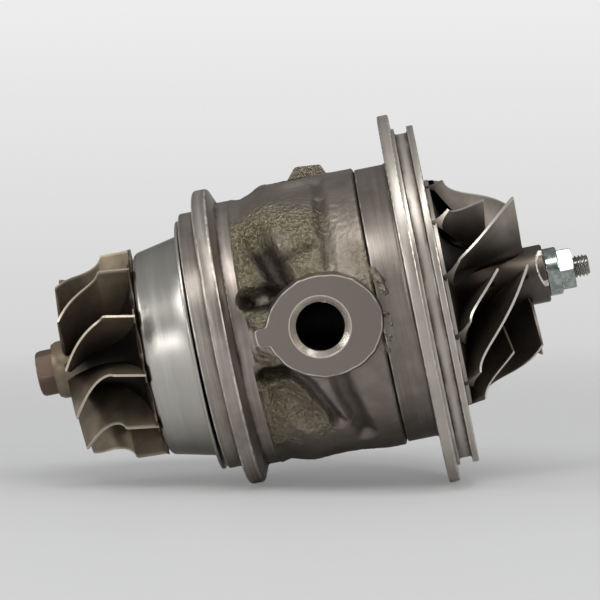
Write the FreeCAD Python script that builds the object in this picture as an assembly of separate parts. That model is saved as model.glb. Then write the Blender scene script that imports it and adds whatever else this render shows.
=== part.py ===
import FreeCAD, Part
import math
import os

from FreeCAD import Vector

os.makedirs("parts", exist_ok=True)

# Turbo cartridge in millimetres. X runs along the shaft from the turbine to the compressor and Z is up.
# The origin is on the shaft's axis, in the turbine side face of the V flange. Angles turn about +X and
# start at the -Y side, where the near water port is, so 90 is straight down and -90 straight up.

# Housing outside, from the V flange towards the compressor
pilot_r = 29.0
pilot_len = 3.8
v_flange_r = 33.4
v_flange_land = 3.4
v_flange_taper = 1.5
neck_r = 29.8
neck_len = 3.1
waist_r = 29.1
waist_len = 8.1
waist_low = 1.8
cast_r = 31.3
cast_len = 20.1
seam_width = 0.4
seam_depth = 0.7
barrel_r = 30.9
barrel_len = 7.2
cover_flange_r = 41.6
cover_flange_len = 2.5
cover_pilot_r = 38.2
cover_pilot_step = 0.7
seal_groove_r = 36.8
seal_groove_len = 2.8
wall_len = 1.5
edge_break = 0.4
machined_round = 0.3
turned_round = 1.0
cast_round = 3.0

# Housing nose inside the heat shield
nose_r = 12.0
nose_len = 10.8
shield_pilot_r = 9.6
shield_pilot_len = 0.9
end_rim_r = 23.5
end_recess = 1.4

# Water ports, one on each side
port_r = 5.19
port_into_jacket = 1.5
port_chamfer = 1.4
port_from_cast = 7.4
port_face = 33.0
port_boss_length = 24.8
port_boss_height = 21.9
port_boss_shift = 1.1
port_tab_length = 3.2
port_tab_width = 3.2
port_tab_root = 2.5
port_land_angle = 11.0
port_land_length = 5.5
jacket_r = 22.0
jacket_core_r = 15.0
jacket_half_length = 8.5
jacket_below = 25.0
jacket_round = 2.0

# Groove in the casting beside each port, deepest at the port
side_groove_r = 29.6
side_groove_shift = 2.4
side_groove_floor = 3.2
side_groove_len = 8.0

# Hollows beside each port: half width, depth, then the spots that the floor's middle passes, each as
# its distance past the neck and its angle
hollows = (
    (3.5, 4.7, (1.6, -16.0), (8.0, -16.5)),
    (3.5, 3.6, (4.9, -45.0), (6.7, -33.0), (8.4, -24.0), (9.4, -17.0)),
    (2.0, 1.2, (10.2, -31.0), (17.2, -34.5)),
    (1.8, 1.3, (19.9, -74.0), (19.8, -49.0), (20.1, -22.0)),
    (2.4, 3.6, (1.6, 17.0), (5.6, 16.5)),
    (4.3, 2.7, (5.2, 27.0), (9.0, 39.0)),
    (2.1, 1.9, (7.3, 16.5), (10.8, 24.6), (13.0, 33.8), (15.0, 44.0)),
    (2.8, 1.9, (17.0, 20.0), (18.7, 36.0), (20.4, 55.0)),
)

# Oil inlet on top, its stop lug, and the drain below
inlet_r = 4.46
inlet_depth = 9.0
inlet_face = 31.5
inlet_boss_r = 7.0
inlet_from_cast = 6.5
feed_r = 1.6
branch_r = 1.0
feed_end = 15.0
feed_wall = 2.5
lug_from_inlet = 3.5
lug_back = 13.5
lug_top = 34.0
lug_fall = 0.5
lug_width = 5.7
lug_thick = 5.0
lug_front_draft = 40.0
lug_back_draft = 22.0
drain_r = 8.19
drain_depth = 11.0
drain_face = 29.6
drain_flat = 2.6
drain_pipe_r = 6.5
chamber_r = 9.0
chamber_wall = 1.6
gallery_r = 4.0
gallery_low = 14.0

# Shaft
journal_r = 4.0
waist_relief = 0.2
stub_r = 2.5
seal_boss_r = 7.4
seal_boss_len = 8.0
weld_gap = 0.9
thread_past_nut = 3.5
thread_chamfer = 0.6

# Bearings, rings and seals
bearing_r = 6.2
bearing_len = 7.6
bearing_hole_r = 0.8
bearing_holes = 6
bearing_hole_angle = 15.0
bearing_chamfer = 0.3
bearing_from_flange = 1.0
snap_ring_width = 0.9
snap_ring_inner_r = 5.4
snap_ring_bite = 0.6
ring_gap = 1.6
ring_gap_angle = 90.0
piston_ring_width = 1.4
piston_ring_depth = 1.25
piston_ring_gap = 0.4
piston_ring_gap_angle = -60.0
piston_ring_in = 3.4
bore_clearance = 0.3
running_clearance = 0.05
journal_clearance = 0.025
side_clearance = 0.05
slide_clearance = 0.01

# Thrust parts, oil deflector and seal insert
thrust_ring_r = 8.0
thrust_ring_len = 1.2
thrust_recess = 0.4
thrust_recess_gap = 0.8
thrust_bearing_r = 15.0
thrust_bearing_len = 3.2
thrust_bearing_flat = 9.5
thrust_pad_depth = 0.3
thrust_pad_width = 1.6
thrust_pads = 4
thrust_pad_angle = 45.0
thrust_pad_share = 0.7
dowel_r = 1.0
dowel_len = 5.0
dowel_circle_r = 12.2
dowel_angle = 35.0
thrust_neck_r = 4.5
flinger_r = 8.5
flinger_len = 1.4
sleeve_r = 6.9
sleeve_ring_in = 3.0
deflector_sheet = 0.8
deflector_cone_r = 12.6
deflector_flat_r = 9.4
deflector_hole_r = 7.4
deflector_gap = 0.35
insert_r = 22.0
insert_body_len = 5.9
insert_face_r = 19.0
insert_ring_width = 1.2
insert_ring_bite = 1.2
insert_ring_reach = 2.4
insert_lip = 1.1
insert_ring_gap = 9.0
insert_bore_gap = 0.2
o_ring_width = 2.2
o_ring_depth = 1.8
o_ring_in = 2.4
o_ring_round = 0.5

# Heat shield: its lean and drop are the play that it hangs with on the nose
shield_sheet = 0.8
shield_hole_r = 10.25
shield_cone_r = 22.8
shield_skirt_r = 25.1
shield_rim_r = 28.2
shield_corner = 1.4
shield_seat_gap = 0.3
shield_rim_gap = 0.5
shield_drop = 0.6
shield_lean = 0.45

# Turbine wheel
turbine_r = 23.5
turbine_tip_len = 7.2
turbine_shroud_len = 6.7
turbine_exducer_r = 20.1
turbine_exducer_len = 4.2
turbine_exducer_rake = 1.9
turbine_hub_r = 6.5
turbine_rim = 1.3
turbine_gap = 0.4
turbine_nose_len = 3.6
turbine_blades = 11
turbine_first_angle = 8.7
turbine_lean = 3.5
turbine_sweep = 26.0
turbine_tip_thick = 0.8
turbine_root_thick = 1.9
scallop_r = 5.3
scallop_out = 1.4
scallop_len = 6.3
hex_nose_flats = 9.4
hex_nose_len = 3.9
hex_nose_turn = 9.0
hex_chamfer = 0.8

# Compressor wheel
compressor_r = 25.6
compressor_gap = 0.3
compressor_rim = 0.6
compressor_tip_width = 3.2
compressor_inducer_r = 19.4
compressor_blade_start = 18.4
compressor_splitter_start = 11.9
compressor_hub_r = 6.5
compressor_nose_len = 4.0
compressor_blades = 6
compressor_first_angle = -11.0
compressor_wrap = 54.0
compressor_wrap_power = 2.8
compressor_wrap_even = 0.25
compressor_lean = 8.5
compressor_tip_thick = 0.55
compressor_root_thick = 1.3

# Lock nut
nut_collar_r = 5.35
nut_collar_len = 3.1
nut_flats = 8.7
nut_hex_len = 3.1
nut_chamfer = 0.5

# How far cutters and blades reach past the surface that they cut or are trimmed by
over = 0.5
blade_sink = 0.35
blade_steps = 9

# Stations along the shaft, worked out from the sizes above
flange_back = v_flange_land + v_flange_taper
neck_end = flange_back + neck_len
cast_start = neck_end + waist_len
cast_end = cast_start + cast_len
barrel_start = cast_end + seam_width
barrel_end = barrel_start + barrel_len
cover_face = barrel_end + cover_flange_len
groove_start = cover_face + cover_pilot_step
groove_end = groove_start + seal_groove_len
wall_face = groove_end + wall_len
nose_shoulder = -pilot_len - nose_len
nose_end = nose_shoulder - shield_pilot_len
port_x = cast_start + port_from_cast
inlet_x = cast_start + inlet_from_cast

shield_x = nose_shoulder - shield_seat_gap - shield_sheet
turbine_back = shield_x - turbine_gap
weld_x = turbine_back + weld_gap
boss_end = weld_x + seal_boss_len
turbine_ring_x = weld_x + piston_ring_in
seal_bore_r = seal_boss_r + bore_clearance

bearing_bore_r = bearing_r + running_clearance
snap_groove_r = bearing_r + running_clearance + snap_ring_bite + side_clearance
snap_groove_len = snap_ring_width + 2 * side_clearance
turbine_bearing_x = bearing_from_flange
turbine_bearing_end = turbine_bearing_x + bearing_len

insert_ring_x = wall_face - insert_lip - insert_ring_width - side_clearance
insert_start = insert_ring_x - insert_body_len
insert_bore_r = insert_r + running_clearance
insert_bore = sleeve_r + insert_bore_gap
deflector_x = insert_start - deflector_sheet - deflector_gap - flinger_len - side_clearance
thrust_face = deflector_x - thrust_bearing_len
thrust_pocket_r = thrust_bearing_r + running_clearance
sleeve_start = thrust_face - side_clearance
shoulder_x = sleeve_start - thrust_ring_len
flinger_x = deflector_x + side_clearance
compressor_back = wall_face + compressor_gap
thrust_recess_x = shoulder_x - thrust_recess
compressor_bearing_end = thrust_recess_x - side_clearance
compressor_bearing_x = compressor_bearing_end - bearing_len
compressor_ring_x = compressor_bearing_x - side_clearance - snap_ring_width

chamber_start = turbine_bearing_end + snap_groove_len + chamber_wall
chamber_end = compressor_ring_x - side_clearance - chamber_wall
turbine_chamber_end = turbine_bearing_x - snap_groove_len - chamber_wall
compressor_start = compressor_back + compressor_blade_start
compressor_piston_x = insert_start + sleeve_ring_in
nut_x = compressor_start + compressor_nose_len
shaft_end = nut_x + nut_collar_len + nut_hex_len + thread_past_nut


def point(x, r, angle=0.0):
    turn = math.radians(angle)
    return Vector(x, -r * math.cos(turn), -r * math.sin(turn))


def outline(corners, place):
    """Closed wire through flat corners: a corner with a third number is rounded to that radius."""
    spots = [Vector(corner[0], corner[1], 0) for corner in corners]
    rounds = []
    for i, corner in enumerate(corners):
        back = (spots[i - 1] - spots[i]).normalize()
        ahead = (spots[(i + 1) % len(spots)] - spots[i]).normalize()
        radius = corner[2] if len(corner) > 2 else 0.0
        half = back.getAngle(ahead) / 2
        reach = radius / math.tan(half)
        middle = (back + ahead).normalize() * (radius / math.sin(half) - radius) if radius else Vector()
        rounds.append((spots[i] + back * reach, spots[i] + middle, spots[i] + ahead * reach))
    edges = []
    for i, (start, middle, end) in enumerate(rounds):
        leave = rounds[i - 1][2]
        if (start - leave).Length > 1e-6:
            edges.append(Part.makeLine(place(leave.x, leave.y), place(start.x, start.y)))
        if (end - start).Length > 1e-6:
            edges.append(Part.Arc(*[place(spot.x, spot.y) for spot in (start, middle, end)]).toShape())
    return Part.Wire(edges)


def revolved(wire, sweep=360.0):
    return Part.Face(wire).revolve(Vector(0, 0, 0), Vector(1, 0, 0), sweep)


def turned(corners, start=0.0, sweep=360.0):
    """Solid of revolution about the shaft's axis from (x, r) corners."""
    return revolved(outline(corners, lambda x, r: point(x, r, start)), sweep)


def tube(x, length, outer, inner):
    return turned([(x, inner), (x, outer), (x + length, outer), (x + length, inner)])


def rod(start, end, r):
    return Part.makeCylinder(r, (end - start).Length, start, end - start)


def bent_rod(spots, r):
    """Round rod along straight runs from spot to spot, with round corners and ends."""
    rods = [rod(here, there, r) for here, there in zip(spots, spots[1:])]
    return rods[0].multiFuse(rods[1:] + [Part.makeSphere(r, spot) for spot in spots])


def hexagon(x, length, flats, turn=0.0):
    corners = [point(x, flats / math.sqrt(3), 60 * i + turn) for i in range(7)]
    return Part.Face(Part.makePolygon(corners)).extrude(Vector(length, 0, 0))


def turned_copies(shape, count, first=0.0):
    copies = []
    for i in range(count):
        copy = shape.copy()
        copy.rotate(Vector(0, 0, 0), Vector(1, 0, 0), first + 360.0 * i / count)
        copies.append(copy)
    return copies


def gapped(ring, x, width, r, gap, angle):
    """A ring cut open at one angle, as snap rings and piston rings are."""
    cutter = Part.makeBox(width + 2 * over, 2 * r, gap, Vector(x - over, -2 * r, -gap / 2))
    cutter.rotate(Vector(0, 0, 0), Vector(1, 0, 0), angle)
    return ring.cut(cutter)


def spline(points):
    curve = Part.BSplineCurve()
    curve.interpolate(points)
    return curve.toShape()


def quarter(centre_x, centre_r, reach_x, reach_r, part=1.0):
    """(x, r) on a quarter ellipse, from its radial end to its end along the shaft or part of the way."""
    turns = [math.radians(90 * part * i / (blade_steps - 1)) for i in range(blade_steps)]
    return [(centre_x - reach_x * math.cos(t), centre_r - reach_r * math.sin(t)) for t in turns]


def contour(curve, closing):
    """Solid of revolution whose profile is a smooth curve closed by straight lines."""
    corners = [curve[-1]] + closing + [curve[0]]
    edges = [spline([point(x, r) for x, r in curve])]
    for here, there in zip(corners, corners[1:]):
        edges.append(Part.makeLine(point(*here), point(*there)))
    return revolved(Part.Wire(edges))


def blade(root, tip, root_thick, tip_thick):
    """Thin twisted solid between a root curve and a tip curve, each a list of (x, r, angle)."""
    root = [point(*spot) for spot in root]
    tip = [point(*spot) for spot in tip]
    last = len(root) - 1
    curves = []
    for side in (-0.5, 0.5):
        for line, thick in ((root, root_thick), (tip, tip_thick)):
            moved = []
            for i, spot in enumerate(line):
                along = line[min(i + 1, last)] - line[max(i - 1, 0)]
                moved.append(spot + along.cross(tip[i] - root[i]).normalize() * thick * side)
            curves.append(moved)
    edges = [spline(curve) for curve in curves]
    faces = [Part.makeRuledSurface(edges[a], edges[b]) for a, b in ((0, 1), (2, 3), (0, 2), (1, 3))]
    for i in (0, last):
        near = Part.makeLine(curves[0][i], curves[1][i])
        far = Part.makeLine(curves[2][i], curves[3][i])
        faces.append(Part.makeRuledSurface(near, far))
    shell = Part.makeShell(faces)
    shell.sewShape()
    solid = Part.makeSolid(shell)
    if solid.Volume < 0:
        solid.reverse()
    return solid


def housing_outside():
    return turned([
        (nose_end, 0),
        (nose_end, shield_pilot_r, edge_break),
        (nose_shoulder, shield_pilot_r),
        (nose_shoulder, nose_r, turned_round),
        (end_recess - pilot_len, end_rim_r - end_recess, turned_round),
        (-pilot_len, end_rim_r),
        (-pilot_len, pilot_r, edge_break),
        (0, pilot_r),
        (0, v_flange_r, turned_round),
        (v_flange_land, v_flange_r, turned_round),
        (flange_back, neck_r, edge_break),
        (neck_end, neck_r, turned_round),
        (neck_end + waist_low, waist_r, cast_round),
        (cast_start, cast_r, cast_round),
        (cast_end, cast_r, machined_round),
        (cast_end, barrel_r - seam_depth),
        (barrel_start, barrel_r - seam_depth),
        (barrel_start, barrel_r, machined_round / 2),
        (barrel_end, barrel_r, turned_round),
        (barrel_end, cover_flange_r, edge_break),
        (cover_face, cover_flange_r, edge_break),
        (cover_face, cover_pilot_r),
        (groove_start, cover_pilot_r, machined_round / 2),
        (groove_start, seal_groove_r, machined_round),
        (groove_end, seal_groove_r, machined_round),
        (groove_end, cover_pilot_r, machined_round / 2),
        (wall_face, cover_pilot_r, machined_round),
        (wall_face, 0),
    ])


def cast_surface(past_neck):
    """Radius of the casting's waist and body at a distance past the neck."""
    if past_neck > waist_len:
        return cast_r
    if past_neck > waist_low:
        return waist_r + (cast_r - waist_r) * (past_neck - waist_low) / (waist_len - waist_low)
    return neck_r + (waist_r - neck_r) * past_neck / waist_low


def hollow(side, half_width, depth, *spots):
    """Round floored hollow along a bent line on the casting, of one width and depth below its surface."""
    r = (half_width ** 2 + depth ** 2) / (2 * depth)
    middles = []
    for past_neck, angle in spots:
        centre_r = cast_surface(past_neck) - depth + r
        middles.append(point(neck_end + past_neck, centre_r, angle if side < 0 else 180 - angle))
    return bent_rod(middles, r)


def cast_hollows(side):
    """Groove whose ring sits off the axis, so that it fades out up and down, and the hollows by one port."""
    clear_r = cast_r + side_groove_shift
    groove = turned([
        (neck_end - turned_round, clear_r),
        (neck_end, side_groove_r, turned_round),
        (neck_end + side_groove_floor, side_groove_r, cast_round),
        (neck_end + side_groove_len, clear_r),
    ])
    groove.translate(Vector(0, -side * side_groove_shift, 0))
    cutters = [groove]
    for half_width, depth, *spots in hollows:
        cutters.append(hollow(side, half_width, depth, *spots))
    return cutters


def port_boss(side):
    """Oval boss with its small tab and the land beside it: side is -1 for the near port, 1 for the far."""
    centre = Vector(port_x + port_boss_shift, side * jacket_r, 0)
    long_end = centre + Vector(port_boss_length / 2, 0, 0)
    short_end = centre + Vector(0, 0, port_boss_height / 2)
    oval = Part.Face(Part.Wire(Part.Ellipse(long_end, short_end, centre).toShape()))
    boss = oval.extrude(Vector(0, side * (port_face - jacket_r), 0))
    oval_end = centre.x - port_boss_length / 2
    low = min(side * jacket_r, side * port_face)
    tab_corner = Vector(oval_end - port_tab_length, low, -port_tab_width / 2)
    tab = Part.makeBox(port_tab_length + port_tab_root, port_face - jacket_r, port_tab_width, tab_corner)
    land_end = neck_end + port_land_length
    corners = [(flange_back, neck_r), (land_end, neck_r, turned_round), (land_end, jacket_r)]
    land = turned(
        [(flange_back, jacket_r)] + corners,
        start=90 + side * 90 - port_land_angle,
        sweep=2 * port_land_angle,
    )
    return [boss, tab, land]


def stop_lug():
    """Cast lug behind the oil inlet that keeps the feed pipe from turning."""
    drop = lug_top - jacket_r
    front = inlet_x + lug_from_inlet - lug_width / 2
    back = front + lug_width
    corners = [
        (front, lug_top, turned_round),
        (back, lug_top - lug_fall, turned_round),
        (back + drop * math.tan(math.radians(lug_back_draft)), jacket_r),
        (front - drop * math.tan(math.radians(lug_front_draft)), jacket_r),
    ]
    face = Part.Face(outline(corners, lambda a, b: Vector(a, lug_back - lug_thick / 2, b)))
    return face.extrude(Vector(0, lug_thick, 0))


def bearing_housing():
    body = housing_outside()
    additions = [rod(Vector(inlet_x, 0, jacket_r), Vector(inlet_x, 0, inlet_face), inlet_boss_r), stop_lug()]
    for side in (-1, 1):
        for cutter in cast_hollows(side):
            body = body.cut(cutter)
        additions += port_boss(side)
    body = body.multiFuse(additions)
    return body.cut(bores() + water_ways() + oil_ways())


def bores():
    """What is bored about the shaft's axis, and the holes of the thrust bearing's dowels."""
    bore = turned([
        (nose_end - over, 0),
        (nose_end - over, seal_bore_r),
        (boss_end + bore_clearance, seal_bore_r),
        (boss_end + bore_clearance, nose_r),
        (turbine_chamber_end, nose_r, turned_round),
        (turbine_chamber_end, bearing_bore_r),
        (thrust_recess_x, bearing_bore_r),
        (thrust_recess_x, thrust_ring_r + thrust_recess_gap),
        (thrust_face, thrust_ring_r + thrust_recess_gap),
        (thrust_face, thrust_pocket_r),
        (insert_start, thrust_pocket_r),
        (insert_start, insert_bore_r),
        (wall_face + over, insert_bore_r),
        (wall_face + over, 0),
    ])
    chamber = tube(chamber_start, chamber_end - chamber_start, chamber_r, 0)
    starts = (turbine_bearing_x - snap_groove_len, turbine_bearing_end, compressor_ring_x - side_clearance)
    grooves = [tube(x, snap_groove_len, snap_groove_r, 0) for x in starts]
    insert_groove = tube(
        insert_ring_x, insert_ring_width + side_clearance, insert_bore_r + insert_ring_bite, insert_r - over
    )
    return [bore, chamber, insert_groove] + grooves + thrust_dowels()


def thrust_dowels():
    """Two pins that keep the thrust bearing from turning, half of each in the housing."""
    pins = []
    for angle in (dowel_angle - 90, -dowel_angle - 90):
        start = point(thrust_face - dowel_len / 2, dowel_circle_r, angle)
        pins.append(rod(start, start + Vector(dowel_len, 0, 0), dowel_r))
    return pins


def water_ways():
    """Jacket over the rotor with the oil feed's column left in it, and the two port bores."""
    start = port_x - 2 * jacket_half_length
    end = port_x + jacket_half_length
    corners = [(start, jacket_core_r), (start, jacket_r), (end, jacket_r), (end, jacket_core_r)]
    jacket = turned(
        [corner + (jacket_round,) for corner in corners],
        start=jacket_below,
        sweep=-180 - 2 * jacket_below,
    )
    column = rod(Vector(inlet_x, 0, 0), Vector(inlet_x, 0, inlet_face), inlet_r + feed_wall)
    cutters = [jacket.cut(column)]
    for side in (-1, 1):
        out = Vector(0, side, 0)
        face = Vector(port_x, side * port_face, 0)
        foot = Vector(port_x, side * (jacket_r - port_into_jacket), 0)
        cutters.append(rod(foot, face + out * over, port_r))
        wide = port_r + port_chamfer
        cutters.append(Part.makeCone(port_r, wide, port_chamfer, face - out * port_chamfer, out))
    return cutters


def oil_ways():
    """Threaded inlet, drillings to both bearings, passages under the shaft and the threaded drain."""
    up = Vector(0, 0, 1)
    top = Vector(inlet_x, 0, inlet_face)
    feed_foot = Vector(inlet_x, 0, feed_end)
    cutters = [rod(top - up * inlet_depth, top + up * over, inlet_r), rod(feed_foot, top, feed_r)]
    for x in (turbine_bearing_x + bearing_len / 2, compressor_bearing_x + bearing_len / 2):
        cutters.append(rod(Vector(x, 0, journal_r + over), feed_foot, branch_r))
    bottom = Vector(inlet_x, 0, -drain_face)
    cutters.append(rod(bottom, bottom - up * v_flange_r, drain_r + drain_flat))
    cutters.append(rod(bottom + up * drain_depth, bottom - up * over, drain_r))
    cutters.append(rod(Vector(inlet_x, 0, over - chamber_r), bottom, drain_pipe_r))
    low = -up * gallery_low
    gallery_start = (boss_end + turbine_chamber_end) / 2
    cutters.append(rod(low + Vector(gallery_start, 0, 0), low + Vector(insert_start, 0, 0), gallery_r))
    return cutters


def heat_shield():
    """Thin cup behind the turbine wheel, hung on the nose with its play."""
    rim_x = -pilot_len - shield_rim_gap
    t = shield_sheet
    cup = turned([
        (shield_x, shield_hole_r),
        (shield_x, shield_cone_r, shield_corner),
        (rim_x - t, shield_skirt_r, shield_corner / 2),
        (rim_x - t, shield_rim_r, shield_sheet / 3),
        (rim_x, shield_rim_r, shield_sheet / 3),
        (rim_x, shield_skirt_r - t),
        (shield_x + t, shield_cone_r - t, shield_corner - t / 2),
        (shield_x + t, shield_hole_r),
    ])
    cup.rotate(Vector(shield_x, 0, 0), Vector(0, 1, 0), shield_lean)
    cup.translate(Vector(0, 0, -shield_drop))
    return cup


def rotor_shaft():
    ring_x = turbine_ring_x - side_clearance
    ring_end = ring_x + piston_ring_width + 2 * side_clearance
    groove_r = seal_bore_r - piston_ring_depth - bore_clearance
    relief_r = journal_r - waist_relief
    return turned([
        (weld_x, 0),
        (weld_x, seal_boss_r),
        (ring_x, seal_boss_r),
        (ring_x, groove_r),
        (ring_end, groove_r),
        (ring_end, seal_boss_r),
        (boss_end, seal_boss_r, edge_break),
        (boss_end, journal_r, edge_break),
        (turbine_bearing_end + over, journal_r),
        (turbine_bearing_end + 2 * over, relief_r),
        (compressor_bearing_x - 2 * over, relief_r),
        (compressor_bearing_x - over, journal_r),
        (shoulder_x, journal_r),
        (shoulder_x, stub_r),
        (shaft_end - thread_chamfer, stub_r),
        (shaft_end, stub_r - thread_chamfer),
        (shaft_end, 0),
    ])


def journal_bearing(x):
    """Floating bush with its edges broken and oil holes half way along."""
    inner = journal_r + journal_clearance
    c = bearing_chamfer
    bush = turned([
        (x, inner + c),
        (x, bearing_r - c),
        (x + c, bearing_r),
        (x + bearing_len - c, bearing_r),
        (x + bearing_len, bearing_r - c),
        (x + bearing_len, inner + c),
        (x + bearing_len - c, inner),
        (x + c, inner),
    ])
    middle = x + bearing_len / 2
    hole = rod(point(middle, journal_r - over), point(middle, bearing_r + over), bearing_hole_r)
    return bush.cut(turned_copies(hole, bearing_holes, bearing_hole_angle))


def bearing_snap_ring(x):
    ring = tube(x, snap_ring_width, snap_groove_r - side_clearance, snap_ring_inner_r)
    return gapped(ring, x, snap_ring_width, snap_groove_r, ring_gap, ring_gap_angle)


def piston_ring(x, bore_r):
    ring = tube(x, piston_ring_width, bore_r, bore_r - piston_ring_depth)
    return gapped(ring, x, piston_ring_width, bore_r, piston_ring_gap, piston_ring_gap_angle)


def thrust_ring():
    return tube(shoulder_x, thrust_ring_len, thrust_ring_r, stub_r + slide_clearance)


def thrust_bearing():
    """Bronze plate with oil pads on both faces, flat at the bottom for the oil to leave."""
    plate = tube(thrust_face, thrust_bearing_len, thrust_bearing_r, thrust_neck_r + 2 * running_clearance)
    low_corner = Vector(thrust_face - over, -thrust_bearing_r, -thrust_bearing_flat - thrust_bearing_r)
    low = Part.makeBox(thrust_bearing_len + 2 * over, 2 * thrust_bearing_r, thrust_bearing_r, low_corner)
    pad_corner = Vector(-thrust_pad_depth, -thrust_ring_r, -thrust_pad_width / 2)
    pad_reach = (thrust_ring_r - thrust_neck_r) * thrust_pad_share
    pad = Part.makeBox(2 * thrust_pad_depth, pad_reach, thrust_pad_width, pad_corner)
    cutters = [low] + thrust_dowels()
    for x in (thrust_face, deflector_x):
        for copy in turned_copies(pad, thrust_pads, thrust_pad_angle):
            copy.translate(Vector(x, 0, 0))
            cutters.append(copy)
    return plate.cut(cutters)


def thrust_sleeve():
    """Sleeve that carries the thrust load, flings the oil and holds the compressor side piston ring."""
    ring_x = compressor_piston_x - side_clearance
    ring_end = ring_x + piston_ring_width + 2 * side_clearance
    groove_r = insert_bore - piston_ring_depth - insert_bore_gap
    bore_r = stub_r + slide_clearance
    flinger_end = flinger_x + flinger_len
    neck = deflector_hole_r - 1.0
    return turned([
        (sleeve_start, bore_r),
        (sleeve_start, thrust_neck_r),
        (flinger_x, thrust_neck_r),
        (flinger_x, flinger_r, machined_round),
        (flinger_end, flinger_r, machined_round),
        (flinger_end, neck),
        (insert_start + over, neck),
        (insert_start + over, sleeve_r),
        (ring_x, sleeve_r),
        (ring_x, groove_r),
        (ring_end, groove_r),
        (ring_end, sleeve_r),
        (compressor_back, sleeve_r),
        (compressor_back, bore_r),
    ])


def oil_deflector():
    """Pressed plate between the thrust bearing and the insert, dished round the flinger."""
    t = deflector_sheet
    return turned([
        (deflector_x, deflector_cone_r - t),
        (deflector_x, thrust_bearing_r),
        (deflector_x + t, thrust_bearing_r),
        (deflector_x + t, deflector_cone_r),
        (insert_start, deflector_flat_r + t),
        (insert_start, deflector_hole_r),
        (insert_start - t, deflector_hole_r),
        (insert_start - t, deflector_flat_r),
    ])


def seal_insert():
    """Disc that closes the housing behind the compressor wheel, with a skirt on the deflector."""
    groove_x = insert_start + o_ring_in
    groove_r = insert_bore_r - o_ring_depth
    skirt_r = deflector_cone_r + insert_bore_gap
    skirt_x = deflector_x + deflector_sheet
    return turned([
        (insert_start, insert_bore),
        (insert_start, skirt_r),
        (skirt_x, skirt_r),
        (skirt_x, thrust_bearing_r),
        (insert_start, thrust_bearing_r),
        (insert_start, insert_r, machined_round),
        (groove_x, insert_r),
        (groove_x, groove_r),
        (groove_x + o_ring_width, groove_r),
        (groove_x + o_ring_width, insert_r),
        (insert_ring_x, insert_r),
        (insert_ring_x, insert_face_r),
        (wall_face, insert_face_r, machined_round),
        (wall_face, insert_bore),
    ])


def insert_o_ring():
    start = insert_start + o_ring_in + side_clearance
    end = start + o_ring_width - 2 * side_clearance
    inner = insert_bore_r - o_ring_depth + slide_clearance
    return turned([(x, r, o_ring_round) for x, r in (
        (start, inner), (start, insert_bore_r), (end, insert_bore_r), (end, inner)
    )])


def insert_snap_ring():
    outer = insert_bore_r + insert_ring_bite - side_clearance
    ring = tube(insert_ring_x, insert_ring_width, outer, insert_r - insert_ring_reach)
    return gapped(ring, insert_ring_x, insert_ring_width, outer, insert_ring_gap, ring_gap_angle)


def hex_nose(nose_x):
    """Cast hexagon that the turbine wheel is held by, its outer corners turned off."""
    corner_r = hex_nose_flats / math.sqrt(3)
    end = nose_x - hex_nose_len
    limit = turned([
        (end, 0),
        (end, corner_r - hex_chamfer),
        (end + hex_chamfer, corner_r + over),
        (nose_x + over, corner_r + over),
        (nose_x + over, 0),
    ])
    return hexagon(end, hex_nose_len + over, hex_nose_flats, hex_nose_turn).common(limit)


def turbine_turn(x):
    """Blade angle at a station: a slight lean along the tip, then the sweep towards the exducer."""
    corner = turbine_back - turbine_tip_len
    if x > corner:
        return -turbine_lean * (turbine_back - x) / turbine_tip_len
    part = (corner - x) / (turbine_shroud_len + turbine_exducer_len)
    return -turbine_lean + turbine_sweep * part ** 2


def turbine_blade(exducer):
    """Radial blade whose lines from root to tip keep one angle, so that it can be cast."""
    count = 2 * blade_steps
    length = turbine_back + over - exducer
    root = []
    tip = []
    for i in range(count + 1):
        x = turbine_back + over - length * i / count
        tip.append((x, turbine_r + over, turbine_turn(x)))
        root.append((x - turbine_exducer_rake * i / count, turbine_hub_r - 1.5, turbine_turn(x)))
    return blade(root, tip, turbine_root_thick, turbine_tip_thick)


def turbine_wheel():
    """Cast wheel: scalloped hub, radial blades with turned tips and the hexagon on its nose."""
    corner = turbine_back - turbine_tip_len
    shroud_end = corner - turbine_shroud_len
    exducer = shroud_end - turbine_exducer_len
    nose = exducer - turbine_nose_len
    rim_x = turbine_back - turbine_rim
    outside = turbine_r + over
    stub = seal_boss_r + over
    hub_curve = quarter(exducer, outside, exducer - rim_x, outside - turbine_hub_r)
    hub = contour(hub_curve, [
        (nose, turbine_hub_r),
        (nose, 0),
        (weld_x + over, 0),
        (weld_x + over, stub),
        (turbine_back + over, stub),
        (turbine_back + over, outside),
    ])
    scallop_at = turbine_r + scallop_out
    scallop_start = point(turbine_back - scallop_len, scallop_at)
    scallop = rod(scallop_start, point(turbine_back + over, scallop_at), scallop_r)
    hub = hub.cut(turned_copies(scallop, turbine_blades, turbine_first_angle + 180.0 / turbine_blades))
    wheel = hub.multiFuse(turned_copies(turbine_blade(exducer), turbine_blades, turbine_first_angle))
    shroud = quarter(shroud_end, turbine_r, shroud_end - corner, turbine_r - turbine_exducer_r)
    past = exducer - 2 * turbine_exducer_rake
    envelope = contour(shroud, [
        (past, turbine_exducer_r),
        (past, turbine_hub_r + 1),
        (nose - 1, turbine_hub_r + 1),
        (nose - 1, 0),
        (weld_x, 0),
        (weld_x, seal_boss_r),
        (turbine_back, seal_boss_r),
        (turbine_back, turbine_r),
    ])
    return wheel.common(envelope).fuse(hex_nose(nose))


def compressor_edge(reach_x, reach_r, part, wrap):
    """Root or tip of a blade up to a part of its length, with the angle that it has wrapped by there."""
    curve = quarter(compressor_start, compressor_r + over, reach_x, reach_r, part)
    edge = []
    for i, (x, r) in enumerate(curve):
        done = part * i / (blade_steps - 1)
        bent = 1 - done ** compressor_wrap_power
        edge.append((x, r, wrap * ((1 - compressor_wrap_even) * bent + compressor_wrap_even * (1 - done))))
    return edge


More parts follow.
